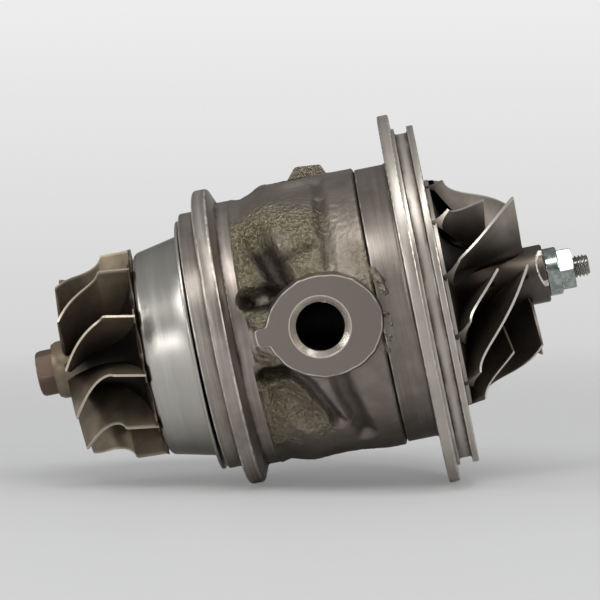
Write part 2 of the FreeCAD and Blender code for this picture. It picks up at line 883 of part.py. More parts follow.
def compressor_wheel():
    """Machined wheel: full blades and splitters on a hub whose contour is a quarter ellipse."""
    outside = compressor_r + over
    nose = compressor_start + compressor_nose_len
    bore_r = stub_r + slide_clearance
    hub_reach_x = compressor_start - compressor_back - compressor_rim
    hub_reach_r = outside - compressor_hub_r
    tip_reach_x = hub_reach_x - compressor_tip_width
    tip_reach_r = compressor_r - compressor_inducer_r
    hub = contour(quarter(compressor_start, outside, hub_reach_x, hub_reach_r), [
        (nose, compressor_hub_r),
        (nose, bore_r),
        (compressor_back, bore_r),
        (compressor_back, outside),
    ])
    splitter_run = compressor_blade_start - compressor_splitter_start
    splitter_part = math.degrees(math.acos(splitter_run / tip_reach_x)) / 90
    blades = []
    for part, offset in ((1.0, 0.0), (splitter_part, 180.0 / compressor_blades)):
        root = compressor_edge(
            hub_reach_x + blade_sink, hub_reach_r + blade_sink, part, compressor_wrap + compressor_lean
        )
        tip = compressor_edge(tip_reach_x - over, tip_reach_r, part, compressor_wrap)
        one = blade(root, tip, compressor_root_thick, compressor_tip_thick)
        blades += turned_copies(one, compressor_blades, compressor_first_angle + offset)
    past = compressor_start + 1
    envelope = contour(quarter(compressor_start, compressor_r, tip_reach_x, tip_reach_r), [
        (past, compressor_inducer_r),
        (past, compressor_hub_r + 1),
        (nose + 1, compressor_hub_r + 1),
        (nose + 1, 0),
        (compressor_back, 0),
        (compressor_back, compressor_r),
    ])
    return hub.multiFuse(blades).common(envelope)


def lock_nut():
    """Round collar and hexagon in one piece, bored for the shaft's thread."""
    hex_x = nut_x + nut_collar_len
    end = hex_x + nut_hex_len
    corner_r = nut_flats / math.sqrt(3)
    collar = turned([
        (nut_x, 0),
        (nut_x, nut_collar_r, machined_round),
        (hex_x, nut_collar_r, nut_chamfer),
        (hex_x, 0),
    ])
    limit = turned([
        (hex_x - over, 0),
        (hex_x - over, corner_r + over),
        (end - nut_chamfer, corner_r + over),
        (end, corner_r - nut_chamfer),
        (end, 0),
    ])
    prism = hexagon(hex_x - over, nut_hex_len + over, nut_flats).common(limit)
    bore = rod(point(nut_x - over, 0), point(end + over, 0), stub_r + slide_clearance)
    return collar.fuse(prism).cut(bore)


parts = {
    "bearing_housing": bearing_housing(),
    "heat_shield": heat_shield(),
    "turbine_wheel": turbine_wheel(),
    "rotor_shaft": rotor_shaft(),
    "turbine_piston_ring": piston_ring(turbine_ring_x, seal_bore_r),
    "turbine_journal_bearing": journal_bearing(turbine_bearing_x),
    "compressor_journal_bearing": journal_bearing(compressor_bearing_x),
    "turbine_outer_snap_ring": bearing_snap_ring(turbine_bearing_x - side_clearance - snap_ring_width),
    "turbine_inner_snap_ring": bearing_snap_ring(turbine_bearing_end + side_clearance),
    "compressor_inner_snap_ring": bearing_snap_ring(compressor_ring_x),
    "thrust_ring": thrust_ring(),
    "thrust_bearing": thrust_bearing(),
    "thrust_sleeve": thrust_sleeve(),
    "oil_deflector": oil_deflector(),
    "seal_insert": seal_insert(),
    "insert_o_ring": insert_o_ring(),
    "insert_snap_ring": insert_snap_ring(),
    "compressor_piston_ring": piston_ring(compressor_piston_x, insert_bore),
    "compressor_wheel": compressor_wheel(),
    "lock_nut": lock_nut(),
}
for name, pin in zip(("thrust_dowel_near", "thrust_dowel_far"), thrust_dowels()):
    parts[name] = pin
for name, shape in parts.items():
    shape.exportStep(f"parts/{name}.step")
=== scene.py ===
import bmesh
import bpy
import numpy as np
from mathutils import Matrix, Vector


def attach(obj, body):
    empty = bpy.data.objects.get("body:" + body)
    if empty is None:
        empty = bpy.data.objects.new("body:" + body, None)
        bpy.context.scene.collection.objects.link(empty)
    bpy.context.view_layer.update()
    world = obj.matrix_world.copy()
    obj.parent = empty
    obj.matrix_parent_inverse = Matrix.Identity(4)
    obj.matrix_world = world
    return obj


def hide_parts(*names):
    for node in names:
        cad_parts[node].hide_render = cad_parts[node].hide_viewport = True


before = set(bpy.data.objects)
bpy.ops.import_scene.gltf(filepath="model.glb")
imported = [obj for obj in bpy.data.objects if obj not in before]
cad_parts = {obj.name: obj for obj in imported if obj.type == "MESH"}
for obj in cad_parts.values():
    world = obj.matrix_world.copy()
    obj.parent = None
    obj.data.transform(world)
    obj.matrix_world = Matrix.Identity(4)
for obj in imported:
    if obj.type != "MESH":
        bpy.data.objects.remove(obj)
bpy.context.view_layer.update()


# Bearing housing: grey iron casting, turned on its flanges, neck and barrel and milled on its port
# faces. Its solid stays, and this is its finish: satin with fine rings where it was turned, blasted
# where it was left as cast, with edges made pale partly by wear and partly as a painted highlight,
# corners darkened with painted shade, and ports, oil ways, seam and inside painted near black as shade.

def linear(code):
    """Linear colour of an sRGB hex code: the sRGB curve undone in each channel."""
    parts = np.array([int(code[i:i + 2], 16) for i in (1, 3, 5)]) / 255
    curve = np.where(parts <= 0.04045, parts / 12.92, ((parts + 0.055) / 1.055) ** 2.4)
    return (*curve, 1.0)


def add(tree, kind, inputs=(), **settings):
    """Adds one shader node and gives its outputs.

    settings are the node's properties. inputs are a dictionary, or a row in the sockets' own order, of
    values to set and of outputs to link from.
    """
    made = tree.nodes.new("ShaderNode" + kind)
    for key, setting in settings.items():
        setattr(made, key, setting)
    for key, source in inputs.items() if isinstance(inputs, dict) else enumerate(inputs):
        if isinstance(source, bpy.types.NodeSocket):
            tree.links.new(source, made.inputs[key])
        else:
            made.inputs[key].default_value = source
    return made.outputs


def new_material(name):
    """Empty material, its nodes, its shader, and its Object coordinates in millimetres."""
    material = bpy.data.materials.new(name)
    material.use_nodes = True
    tree = material.node_tree
    place = add(tree, "TexCoord")["Object"]
    mm = add(tree, "VectorMath", {0: place, "Scale": 1000.0}, operation="SCALE")[0]
    return material, tree, tree.nodes["Principled BSDF"], mm


def turned_place(tree, mm, wander=0.02):
    """(x, distance from the shaft's axis) as a place, with a little of the turn: rings stay rings."""
    flat = add(tree, "VectorMath", (mm, (0.0, 1.0, 1.0)), operation="MULTIPLY")[0]
    r = add(tree, "VectorMath", (flat,), operation="LENGTH")["Value"]
    x, y, z = add(tree, "SeparateXYZ", (mm,))
    low = add(tree, "Math", (z, wander), operation="MULTIPLY")[0]
    return add(tree, "CombineXYZ", (x, r, low))[0], r


def within(tree, source, low, high):
    """1 where a value lies between two limits, else 0."""
    above = add(tree, "Math", (source, low), operation="GREATER_THAN")[0]
    below = add(tree, "Math", (source, high), operation="LESS_THAN")[0]
    return add(tree, "Math", (above, below), operation="MULTIPLY")[0]


def patches(tree, place, size, low, high, least=0.0, most=1.0, detail=3.0, rough=0.55):
    """Soft patches about one size in millimetres across: least where the noise is low, most where high."""
    cloud = {"Vector": place, "Scale": 1 / size, "Detail": detail, "Roughness": rough}
    return add(tree, "MapRange", (add(tree, "TexNoise", cloud)["Fac"], low, high, least, most))[0]


def cast_finish(tree, mm, rough_part):
    """Blasted casting: satin grey brown, olive and hammered where rough_part is 1, near smooth where 0. Its
    light olive flecks are partly the casting's own mottle and partly painted sparkle and warm highlight.
    """
    crinkle = add(tree, "TexNoise", {"Vector": mm, "Scale": 1 / 0.8, "Detail": 4.0, "Roughness": 0.6})["Fac"]
    grains = add(tree, "TexNoise", {"Vector": mm, "Scale": 1 / 0.4, "Detail": 3.0, "Roughness": 0.6})["Fac"]
    grey = patches(tree, mm, 6.0, 0.35, 0.65, detail=2.0)
    grey = add(tree, "Mix", {0: grey, 6: linear("#80776f"), 7: linear("#91887f")}, data_type="RGBA")[2]
    # Light olive flecks: partly the casting's mottle, partly painted sparkle and warm highlight
    olive = add(tree, "MapRange", (crinkle, 0.42, 0.6))[0]
    olive = add(tree, "Mix", {0: olive, 6: linear("#756d5a"), 7: linear("#98907a")}, data_type="RGBA")[2]
    colour = add(tree, "Mix", {0: rough_part, 6: grey, 7: olive}, data_type="RGBA")[2]
    rough = add(tree, "MapRange", (rough_part, 0.0, 1.0, 0.42, 0.27))[0]
    depth = add(tree, "Math", (rough_part, 2.6, 0.08), operation="MULTIPLY_ADD")[0]
    deep = add(tree, "Math", (crinkle, depth), operation="MULTIPLY")[0]
    fine = add(tree, "Math", (grains, 0.14), operation="MULTIPLY")[0]
    return colour, rough, add(tree, "Math", (deep, fine), operation="ADD")[0]


def turned_finish(tree, place, dark, light, pitch, base_rough, vary=0.12):
    """Turned metal: rings of one pitch in colour, roughness and height."""
    fine_rings = {"Vector": place, "Scale": 1 / pitch, "Detail": 2.0, "Roughness": 0.7}
    wide_rings = {"Vector": place, "Scale": 1 / (9 * pitch), "Detail": 2.0, "Roughness": 0.55}
    rings = add(tree, "TexNoise", fine_rings)["Fac"]
    broad = add(tree, "TexNoise", wide_rings)["Fac"]
    both = add(tree, "Math", (rings, broad), operation="ADD")[0]
    both = add(tree, "MapRange", (both, 0.7, 1.3))[0]
    colour = add(tree, "Mix", {0: both, 6: linear(dark), 7: linear(light)}, data_type="RGBA")[2]
    rough = add(tree, "MapRange", (broad, 0.3, 0.7, base_rough - vary / 2, base_rough + vary / 2))[0]
    return colour, rough, rings


def finish(tree, shader, colour, rough, metallic, height=None, strength=0.0, distance=0.0):
    """Feeds a shader its colour, roughness and metallic part, and bumps that are distance metres high."""
    tree.links.new(colour, shader.inputs["Base Color"])
    tree.links.new(rough, shader.inputs["Roughness"])
    shader.inputs["Metallic"].default_value = metallic
    if height is not None:
        bump = add(tree, "Bump", {"Strength": strength, "Distance": distance, "Height": height})[0]
        tree.links.new(bump, shader.inputs["Normal"])


def smooth_cad(node):
    """Shades a CAD node's round faces smooth: loose triangles are welded, and sharp edges stay sharp."""
    weld_within, sharp_from = 1e-6, np.radians(32.0)
    group = bpy.data.node_groups.get("smooth_round_faces")
    if group is None:
        group = bpy.data.node_groups.new("smooth_round_faces", "GeometryNodeTree")
        group.interface.new_socket("Geometry", in_out="INPUT", socket_type="NodeSocketGeometry")
        group.interface.new_socket("Geometry", in_out="OUTPUT", socket_type="NodeSocketGeometry")
        start, end = group.nodes.new("NodeGroupInput"), group.nodes.new("NodeGroupOutput")
        weld = group.nodes.new("GeometryNodeMergeByDistance")
        weld.inputs["Distance"].default_value = weld_within
        edge = group.nodes.new("GeometryNodeInputMeshEdgeAngle")
        flat = group.nodes.new("FunctionNodeCompare")
        flat.operation = "LESS_THAN"
        flat.inputs[1].default_value = sharp_from
        whole = group.nodes.new("GeometryNodeSetShadeSmooth")
        edges = group.nodes.new("GeometryNodeSetShadeSmooth")
        edges.domain = "EDGE"
        for source, target in (
            (start.outputs[0], weld.inputs["Geometry"]), (weld.outputs[0], whole.inputs["Geometry"]),
            (whole.outputs[0], edges.inputs["Geometry"]), (edge.outputs[0], flat.inputs[0]),
            (flat.outputs[0], edges.inputs["Shade Smooth"]), (edges.outputs[0], end.inputs[0]),
        ):
            group.links.new(source, target)
    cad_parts[node].modifiers.new("smooth", "NODES").node_group = group


def dress(node, material):
    """Gives a CAD node its material and smooth round faces."""
    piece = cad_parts[node]
    piece.data.materials.clear()
    piece.data.materials.append(material)
    smooth_cad(node)


cast_from, cast_to, neck_r = 8.0, 36.2, 29.7
port_x, port_face, port_r, chamfer_r = 23.5, 33.0, 5.3, 6.8
inlet_x, inlet_face, inlet_r = 22.6, 31.5, 4.5
drain_face, drain_r = 29.6, 8.3
skin_of_cut, far = 0.06, 99.0

iron, tree, shader, mm = new_material("turned_and_milled_grey_iron")
place, r = turned_place(tree, mm)
x, y, z = add(tree, "SeparateXYZ", (mm,))
out = add(tree, "Math", (y,), operation="ABSOLUTE")[0]
inlet_top = within(tree, z, inlet_face - skin_of_cut, inlet_face + skin_of_cut)
milled = within(tree, out, port_face - skin_of_cut, far)
milled = add(tree, "Math", (milled, inlet_top), operation="MAXIMUM")[0]
by_ports = within(tree, x, cast_from - 2.0, cast_to + 1.5)
milled = add(tree, "Math", (milled, by_ports), operation="MULTIPLY")[0]

# Distances from the middles of the ports, and of the oil's way in and out
flat = add(tree, "CombineXYZ", (x, z))[0]
from_port = add(tree, "VectorMath", (flat, (port_x, 0.0, 0.0)), operation="DISTANCE")["Value"]
flat = add(tree, "CombineXYZ", (x, y))[0]
from_oil = add(tree, "VectorMath", (flat, (inlet_x, 0.0, 0.0)), operation="DISTANCE")["Value"]
# The port's chamfer is painted pale below: cut metal, and partly a painted highlight for its bright arcs
chamfer = within(tree, from_port, port_r, chamfer_r)
chamfer = add(tree, "Math", (chamfer, within(tree, out, 31.0, far)), operation="MULTIPLY")[0]

# Cast surface: outside, between the neck and the seam, and off every cut face
cast = within(tree, x, cast_from, cast_to)
for source, operation, limit in (
    (r, "GREATER_THAN", 25.0), (out, "LESS_THAN", port_face - skin_of_cut), (inlet_top, "LESS_THAN", 0.5),
    (z, "GREATER_THAN", skin_of_cut - drain_face), (chamfer, "LESS_THAN", 0.5),
):
    part = add(tree, "Math", (source, limit), operation=operation)[0]
    cast = add(tree, "Math", (cast, part), operation="MULTIPLY")[0]

# Painted shade: the ports, the oil's way in and out, the seam, which is also oily, and the housing's
# inside are made near black, less metallic and less glossy, as the shade deep in them
dark = 0.0
for one, one_from, one_to, other, other_from, other_to in (
    (from_port, -1.0, port_r, out, 15.0, far), (from_oil, -1.0, inlet_r, z, 15.0, far),
    (from_oil, -1.0, drain_r, z, -far, -8.0), (x, cast_to, cast_to + 0.4, r, -1.0, 30.55),
    (x, -2.0, cast_to, r, -1.0, 24.0),
):
    both = (within(tree, one, one_from, one_to), within(tree, other, other_from, other_to))
    part = add(tree, "Math", both, operation="MULTIPLY")[0]
    dark = add(tree, "Math", (dark, part), operation="MAXIMUM")[0]

# Pale edges, partly wear and partly a painted highlight, and corners darkened with painted shade:
# how near (x, distance from the axis) is to the corners of the profile
profile = add(tree, "CombineXYZ", (x, r))[0]
edges = (
    (0.2, 33.2), (3.2, 33.2), (-3.7, 28.9), (43.9, 41.5), (46.2, 41.5), (46.9, 38.2), (49.9, 38.2),
    (51.2, 38.1), (36.7, 30.9),
)
corners = ((0.0, 29.0), (4.9, 29.8), (43.8, 30.9), (47.0, 36.8), (49.8, 36.8))
nearness = []
for reach, spots in ((0.32, edges), (1.1, corners)):
    near = 0.0
    for spot in spots:
        away = add(tree, "VectorMath", (profile, (*spot, 0.0)), operation="DISTANCE")["Value"]
        here = add(tree, "MapRange", (away, 0.0, reach, 1.0, 0.0))[0]
        near = add(tree, "Math", (near, here), operation="MAXIMUM")[0]
    nearness.append(near)
# Pale convex edges: partly wear, partly a painted highlight on the rounded edges
edge_wear_and_highlight = add(tree, "MapRange", (nearness[0], 0.0, 0.5))[0]
edge_patches = patches(tree, mm, 2.5, 0.35, 0.6, 0.2)
edge_wear_and_highlight = add(tree, "Math", (edge_wear_and_highlight, edge_patches), operation="MULTIPLY")[0]
# Concave corners darkened with painted shade, broken into patches
corner_patches = patches(tree, mm, 6.0, 0.3, 0.6, 0.3)
painted_corner_shade = add(tree, "Math", (nearness[1], corner_patches), operation="MULTIPLY")[0]
# Pale rims of the port faces: partly rubbed by knocks, partly a painted highlight
rubbed_and_highlit = add(tree, "Attribute", attribute_name="rubbed_and_highlit")["Fac"]
rubbed_wear_and_highlight = add(tree, "Math", (rubbed_and_highlit, patches(tree, mm, 4.0, 0.4, 0.55, 0.25)), operation="MULTIPLY")[0]
stains = patches(tree, mm, 11.0, 0.45, 0.65, 0.0, 0.45, detail=4.0, rough=0.6)
on_barrel = add(tree, "Math", (within(tree, x, 36.6, 43.7), 0.4), operation="MULTIPLY")[0]
off_corner_shade = add(tree, "Math", (0.45, painted_corner_shade), operation="SUBTRACT")[0]
on_flange = add(tree, "Math", (within(tree, x, 43.9, 52.0), off_corner_shade), operation="MULTIPLY")[0]

turned_colour, turned_rough, rings = turned_finish(tree, place, "#8b837c", "#aea69e", 0.22, 0.36)
# Mixed in: painted corner shade, pale edges, rims and chamfer that are partly painted highlight, stains, a
# darker barrel, a paler cover flange and the milled faces
for part, code in (
    (painted_corner_shade, "#3d342c"), (edge_wear_and_highlight, "#dcd8cf"), (stains, "#665c52"), (on_barrel, "#625a53"),
    (on_flange, "#cbc4ba"), (milled, "#7d756f"), (rubbed_wear_and_highlight, "#d5d0c4"), (chamfer, "#cbc4ba"),
):
    blend = {0: part, 6: turned_colour, 7: linear(code)}
    turned_colour = add(tree, "Mix", blend, data_type="RGBA")[2]
hammer = add(tree, "TexNoise", {"Vector": mm, "Scale": 1 / 8.0, "Detail": 3.0, "Roughness": 0.55})["Fac"]
cast_colour, cast_rough, cast_height = cast_finish(tree, mm, hammer)
colour = add(tree, "Mix", {0: cast, 6: turned_colour, 7: cast_colour}, data_type="RGBA")[2]
# Painted shade: near black in the ports, oil ways, seam and inside
colour = add(tree, "Mix", {0: dark, 6: colour, 7: linear("#14110f")}, data_type="RGBA")[2]
tree.links.new(colour, shader.inputs["Base Color"])
rough = add(tree, "Mix", {0: cast, 2: turned_rough, 3: cast_rough})[0]
rough = add(tree, "Mix", {0: milled, 2: rough, 3: 0.5})[0]
rough = add(tree, "Mix", {0: chamfer, 2: rough, 3: 0.2})[0]
tree.links.new(rough, shader.inputs["Roughness"])
off_milled = add(tree, "Math", (1.0, milled), operation="SUBTRACT")[0]
flat_rings = add(tree, "Math", (rings, 0.12), operation="MULTIPLY")[0]
flat_rings = add(tree, "Math", (flat_rings, off_milled), operation="MULTIPLY")[0]
height = add(tree, "Mix", {0: cast, 2: flat_rings, 3: cast_height})[0]
bump = add(tree, "Bump", {"Strength": 0.6, "Distance": 0.0003, "Height": height})[0]
tree.links.new(bump, shader.inputs["Normal"])
# The painted shade in the holes is also less metallic and less glossy
metal = add(tree, "Math", (dark, -0.9, 0.92), operation="MULTIPLY_ADD")[0]
tree.links.new(metal, shader.inputs["Metallic"])
gloss = add(tree, "Math", (dark, -0.45, 0.5), operation="MULTIPLY_ADD")[0]
tree.links.new(gloss, shader.inputs["Specular IOR Level"])
turned = add(tree, "Math", (1.0, cast), operation="SUBTRACT")[0]
turned = add(tree, "Math", (turned, off_milled), operation="MULTIPLY")[0]
stretch = add(tree, "Math", (turned, 0.5), operation="MULTIPLY")[0]
tree.links.new(stretch, shader.inputs["Anisotropic"])
tangent = add(tree, "Tangent", direction_type="RADIAL", axis="X")[0]
tree.links.new(tangent, shader.inputs["Tangent"])
dress("bearing_housing", iron)


# Blasted casting skin: what the sand mould left between the neck and the seam, with hollows beside
# the ports, soft swellings between them and lumps of flash by the boss. It lies on the housing's solid,
# satin grey brown, darkened with painted shade in its hollows and hammered on the swellings.

def random_field(rows, columns, size, seed):
    """Smooth random heights, periodic both ways: white noise whose waves shorter than size are damped."""
    draw = np.random.default_rng(seed).standard_normal((rows, columns))
    rates = np.hypot(np.fft.fftfreq(rows)[:, None], np.fft.fftfreq(columns)[None, :])
    field = np.fft.ifft2(np.fft.fft2(draw) * np.exp(-(rates * size) ** 2 * 5)).real
    return field / field.std()


def from_line(x, s, line):
    """Distance in mm from a bent line: the smallest of the distances from its straight runs."""
    line = np.array(line, float)
    nearest = np.full(x.shape, 1e9)
    for here, there in zip(line, line[1:]):
        run = there - here
        along = np.clip(((x - here[0]) * run[0] + (s - here[1]) * run[1]) / (run @ run), 0, 1)
        nearest = np.minimum(nearest, np.hypot(x - here[0] - along * run[0], s - here[1] - along * run[1]))
    return nearest


def stroke(x, s, line, width, height):
    """A soft ridge or band along a bent line: height falls with the distance as a bell curve."""
    return height * np.exp(-(from_line(x, s, line) / width) ** 2)


def hollow(x, s, line, half, deep):
    """A soft trough along a bent line: one less the distance's square over half's square, all squared."""
    return deep * np.clip(1 - (from_line(x, s, line) / half) ** 2, 0, 1) ** 2


def faces_of(rows, columns, closed_rows=False, closed_columns=False, first=0):
    """Corner numbers of the four-sided faces of a grid, row by row."""
    i = np.arange(rows if closed_rows else rows - 1)
    j = np.arange(columns if closed_columns else columns - 1)
    i, j = np.meshgrid(i, j, indexing="ij")
    ahead, aside = (i + 1) % rows, (j + 1) % columns
    corners = (i * columns + j, ahead * columns + j, ahead * columns + aside, i * columns + aside)
    return first + np.stack(corners, -1).reshape(-1, 4)


def make_piece(name, shells, material, body, sharp=35.0, masks=None):
    """One piece from shells of points in mm with their faces: doubles merged, normals outwards."""
    points, faces, count = [], [], 0
    for spots, quads in shells:
        points.append(spots.reshape(-1, 3))
        faces.append(quads + count)
        count += len(points[-1])
    mesh = bpy.data.meshes.new(name)
    mesh.from_pydata(np.concatenate(points) / 1000, [], np.concatenate(faces))
    for mask, values in (masks or {}).items():
        layer = mesh.attributes.new(mask, "FLOAT", "POINT")
        layer.data.foreach_set("value", np.concatenate([part.ravel() for part in values]).astype(np.float32))
    work = bmesh.new()
    work.from_mesh(mesh)
    bmesh.ops.remove_doubles(work, verts=work.verts, dist=1e-6)
    bmesh.ops.dissolve_degenerate(work, edges=work.edges, dist=1e-7)
    bmesh.ops.recalc_face_normals(work, faces=work.faces)
    work.to_mesh(mesh)
    work.free()
    mesh.shade_smooth()
    mesh.set_sharp_from_angle(angle=np.radians(sharp))
    mesh.materials.append(material)
    piece = bpy.data.objects.new(name, mesh)
    bpy.context.scene.collection.objects.link(piece)
    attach(piece, body)
    return piece


boss_x, boss_half, boss_rise = 24.6, 12.4, 10.95
skin_step = 0.32
skin_from, skin_to = 5.8, 42.6
mean_r = 30.5
rows, columns = int((skin_to - skin_from) / skin_step), int(2 * np.pi * mean_r / skin_step)
x_line = np.linspace(skin_from, skin_to, rows)
turn_line = np.linspace(-np.pi, np.pi, columns, endpoint=False)
x, turn = np.meshgrid(x_line, turn_line, indexing="ij")
near_turn = np.where(np.abs(turn) <= np.pi / 2, turn, np.sign(turn) * np.pi - turn)
s = mean_r * near_turn
profile_x = [5.0, 7.95, 8.1, 9.0, 10.2, 12.0, 14.0, 15.6, 17.0, 20.0, 36.0, 36.25, 36.5, 37.0, 43.0]
profile_r = [29.7, 29.7, 29.85, 29.6, 29.4, 30.0, 30.7, 31.25, 31.4, 31.44, 31.42, 30.9, 29.9, 29.9, 29.9]
skin_r = np.interp(x, profile_x, profile_r)
drift = random_field(rows, columns, 4.8 / skin_step, 11)
waver = random_field(rows, columns, 4.8 / skin_step, 12)
bent_x, bent_s = x + 0.1 * drift, s + 0.15 * waver

# Hollows: the line of each one's floor as (x, distance round the shaft), its half width and its depth
dents = np.zeros_like(x)
for line, half, deep in (
    ([(9.6, -8.4), (16.0, -8.8)], 3.6, 4.3),
    ([(12.8, -24.6), (14.7, -17.6), (16.4, -12.8), (17.4, -9.0)], 3.7, 3.4),
    ([(18.2, -16.5), (25.2, -18.4)], 2.2, 1.1),
    ([(27.9, -46.0), (27.9, -36.0)], 2.1, 0.4),
    ([(27.9, -39.0), (27.8, -28.0)], 2.1, 0.75),
    ([(27.8, -31.0), (27.8, -26.1), (28.1, -11.7)], 2.1, 1.1),
    ([(9.7, 9.1), (13.6, 8.8)], 2.7, 3.3),
    ([(13.2, 14.4), (17.0, 20.8)], 4.6, 2.5),
    ([(15.3, 8.8), (18.8, 13.1), (21.0, 18.0), (23.0, 23.4)], 2.25, 1.7),
    ([(25.0, 10.6), (26.7, 19.2), (28.4, 29.3)], 3.0, 1.7),
):
    dents = dents + hollow(bent_x, bent_s, line, half, deep) ** 3
skin_r = skin_r - np.cbrt(dents)

# Swellings between the hollows: line, width and height
for line, width, height in (
    ([(10.9, -8.7), (12.9, -8.7)], 1.5, 1.7),
    ([(9.6, -29.0), (9.4, -14.0)], 1.2, 0.3),
    ([(18.0, -27.0), (24.6, -24.5)], 4.0, 0.45),
    ([(19.6, -13.6), (24.8, -13.2)], 1.9, 0.75),
    ([(9.6, 12.0), (9.6, 29.0)], 1.6, 0.6),
    ([(22.8, 14.6), (24.6, 22.0)], 1.2, 0.25),
):
    skin_r = skin_r + stroke(x, s, line, width, height)

# Land between the port and the neck, and the mound that the oil inlet's face is cut on
land_to, land_half = 14.0, 4.0
land_edge = np.clip((np.abs(s) - land_half) / 2.2, 0, None) ** 2
land_r = np.interp(x, [7.95, 8.1, 9.0, 12.0], [29.7, 29.9, 30.8, 31.4]) - 1.8 * land_edge
land_r = land_r + stroke(x, s, [(9.0, -2.2), (8.9, 2.8), (12.4, 5.0)], 0.5, -0.8)
skin_r = np.where(x < land_to, np.maximum(skin_r, land_r), skin_r)
mound_half, mound_blend = 7.0, 0.3
from_inlet = np.hypot(x - inlet_x, skin_r * np.cos(turn))
mound_z = inlet_face - 0.08 - 0.2 * np.clip(from_inlet - mound_half, 0, None) ** 2
mound_r = mound_z / np.maximum(-np.sin(turn), 0.5)
over_top = (turn < -1.0) & (turn > -2.14)
mounded = mound_blend * np.logaddexp(skin_r / mound_blend, mound_r / mound_blend)
skin_r = np.where(over_top, mounded, skin_r)

# Where painted shade darkens the hollows, and where the sand left it hammered: 0 to 1
painted_hollow_shade = np.clip(
    stroke(bent_x, bent_s, [(14.2, -19.0), (15.4, -15.0), (16.2, -9.0)], 3.2, 1.35)
    + stroke(bent_x, bent_s, [(8.6, -8.4), (16.0, -8.0)], 2.6, 1.1)
    - stroke(x, s, [(11.8, -8.6), (13.0, -8.6)], 1.2, 1.0)
    + stroke(bent_x, bent_s, [(8.6, 9.0), (13.4, 8.8)], 1.8, 1.0)
    + stroke(bent_x, bent_s, [(15.0, 9.0), (18.4, 13.1), (20.6, 18.0), (22.6, 23.0)], 1.3, 0.8)
    + stroke(bent_x, bent_s, [(25.2, 11.6), (26.6, 18.0), (28.0, 28.0)], 2.0, 0.7)
    + stroke(bent_x, bent_s, [(18.4, -16.6), (24.4, -18.2)], 1.1, 0.6)
    + stroke(bent_x, bent_s, [(27.6, -38.0), (27.6, -14.0)], 1.2, 0.5), 0, 1
)
hammered = np.clip(
    stroke(x, s, [(9.6, -27.0), (9.6, -12.0)], 3.4, 1.2) + stroke(x, s, [(9.6, 11.0), (9.6, 27.0)], 2.9, 1.2)
    + stroke(x, s, [(15.0, -28.0), (24.0, -23.0), (22.0, -14.0)], 5.0, 1.2)
    + stroke(x, s, [(13.0, 12.0), (19.0, 24.0)], 4.0, 0.8)
    + stroke(x, s, [(34.0, -14.0), (38.0, -4.0), (37.4, 7.0)], 3.0, 0.5)
    + stroke(x, s, [(8.8, -5.4), (11.8, -3.6)], 1.8, 1.0)
    + stroke(x, s, [(8.8, 4.4), (12.0, 6.2)], 1.8, 0.7), 0, 1
)
grain = random_field(rows, columns, 0.45 / skin_step, 3)
lumps = random_field(rows, columns, 2.7 / skin_step, 5)
lump_fade = np.interp(x, [12.0, 28.0, 31.0], [1.0, 0.8, 0.1])
skin_r = skin_r + (0.02 + 0.09 * hammered) * grain + 0.06 * lumps * lump_fade
skin_r = np.where(x < cast_from, np.minimum(skin_r, neck_r), skin_r)

# Flash along the seam by the boss: where each lump sits, its width and its height
flash_from, flash_foot_r = 36.3, 30.3
flash = np.zeros_like(x)
for spot_x, spot_s, width, height in (
    (36.8, -9.4, 1.1, 0.9), (37.8, -7.2, 1.2, 1.1), (38.3, -4.8, 1.0, 1.0), (37.9, 0.2, 0.9, 1.0),
    (38.2, 2.2, 0.6, 0.9), (37.3, 5.0, 0.9, 1.0), (36.5, 7.6, 1.1, 0.9),
):
    flash = flash + stroke(x, s, [(spot_x, spot_s), (spot_x + 0.3, spot_s + 0.4)], width, height)
flash = flash * (1 + 0.2 * grain)
skin_r = np.where(x > flash_from, np.maximum(skin_r, flash_foot_r + flash), skin_r + 0.25 * flash)

# The skin as a closed shell: outer and inner faces where it is kept, and walls round what is left out
under_r, skin_thick = 28.4, 0.6
skin_y, skin_z = -skin_r * np.cos(turn), -skin_r * np.sin(turn)
outer = np.stack([x, skin_y, skin_z], -1)
inner_r = np.minimum(under_r, skin_r - skin_thick)
inner = np.stack([x, -inner_r * np.cos(turn), -inner_r * np.sin(turn)], -1)
from_middle = np.hypot(x - inlet_x, skin_y)
in_boss = ((x - boss_x) / (boss_half - 2)) ** 2 + (skin_z / (boss_rise - 1.8)) ** 2 < 1
in_boss &= np.abs(skin_y) > 20
in_inlet = (from_middle < 6.7) & (skin_z > 20)
in_drain = (from_middle < 10.75) & (skin_z < -20)
past_seam = (x > 36.15) & (skin_r < 30.8)
gone = in_boss | in_inlet | in_drain | past_seam
kept = ~(gone[:-1] & gone[1:] & np.roll(gone[:-1] & gone[1:], -1, axis=1))
count = rows * columns
top = faces_of(rows, columns, closed_columns=True)[kept.ravel()]
padded = np.zeros((rows + 1, columns), bool)
padded[1:-1] = kept
numbers = np.arange(count).reshape(rows, columns)
i, j = np.nonzero(padded[:-1] != padded[1:])
starts, ends = [numbers[i, j]], [numbers[i, (j + 1) % columns]]
i, j = np.nonzero(kept != np.roll(kept, 1, axis=1))
starts, ends = np.concatenate(starts + [numbers[i, j]]), np.concatenate(ends + [numbers[i + 1, j]])
walls = np.stack([starts, ends, ends + count, starts + count], -1)

skin_iron, tree, shader, mm = new_material("blasted_iron_casting")
hammer = add(tree, "Attribute", attribute_name="hammered")["Fac"]
hollow_shade = add(tree, "Attribute", attribute_name="painted_hollow_shade")["Fac"]
hollow_shade = add(tree, "Math", (hollow_shade, 0.9), operation="MULTIPLY")[0]
colour, rough, height = cast_finish(tree, mm, hammer)
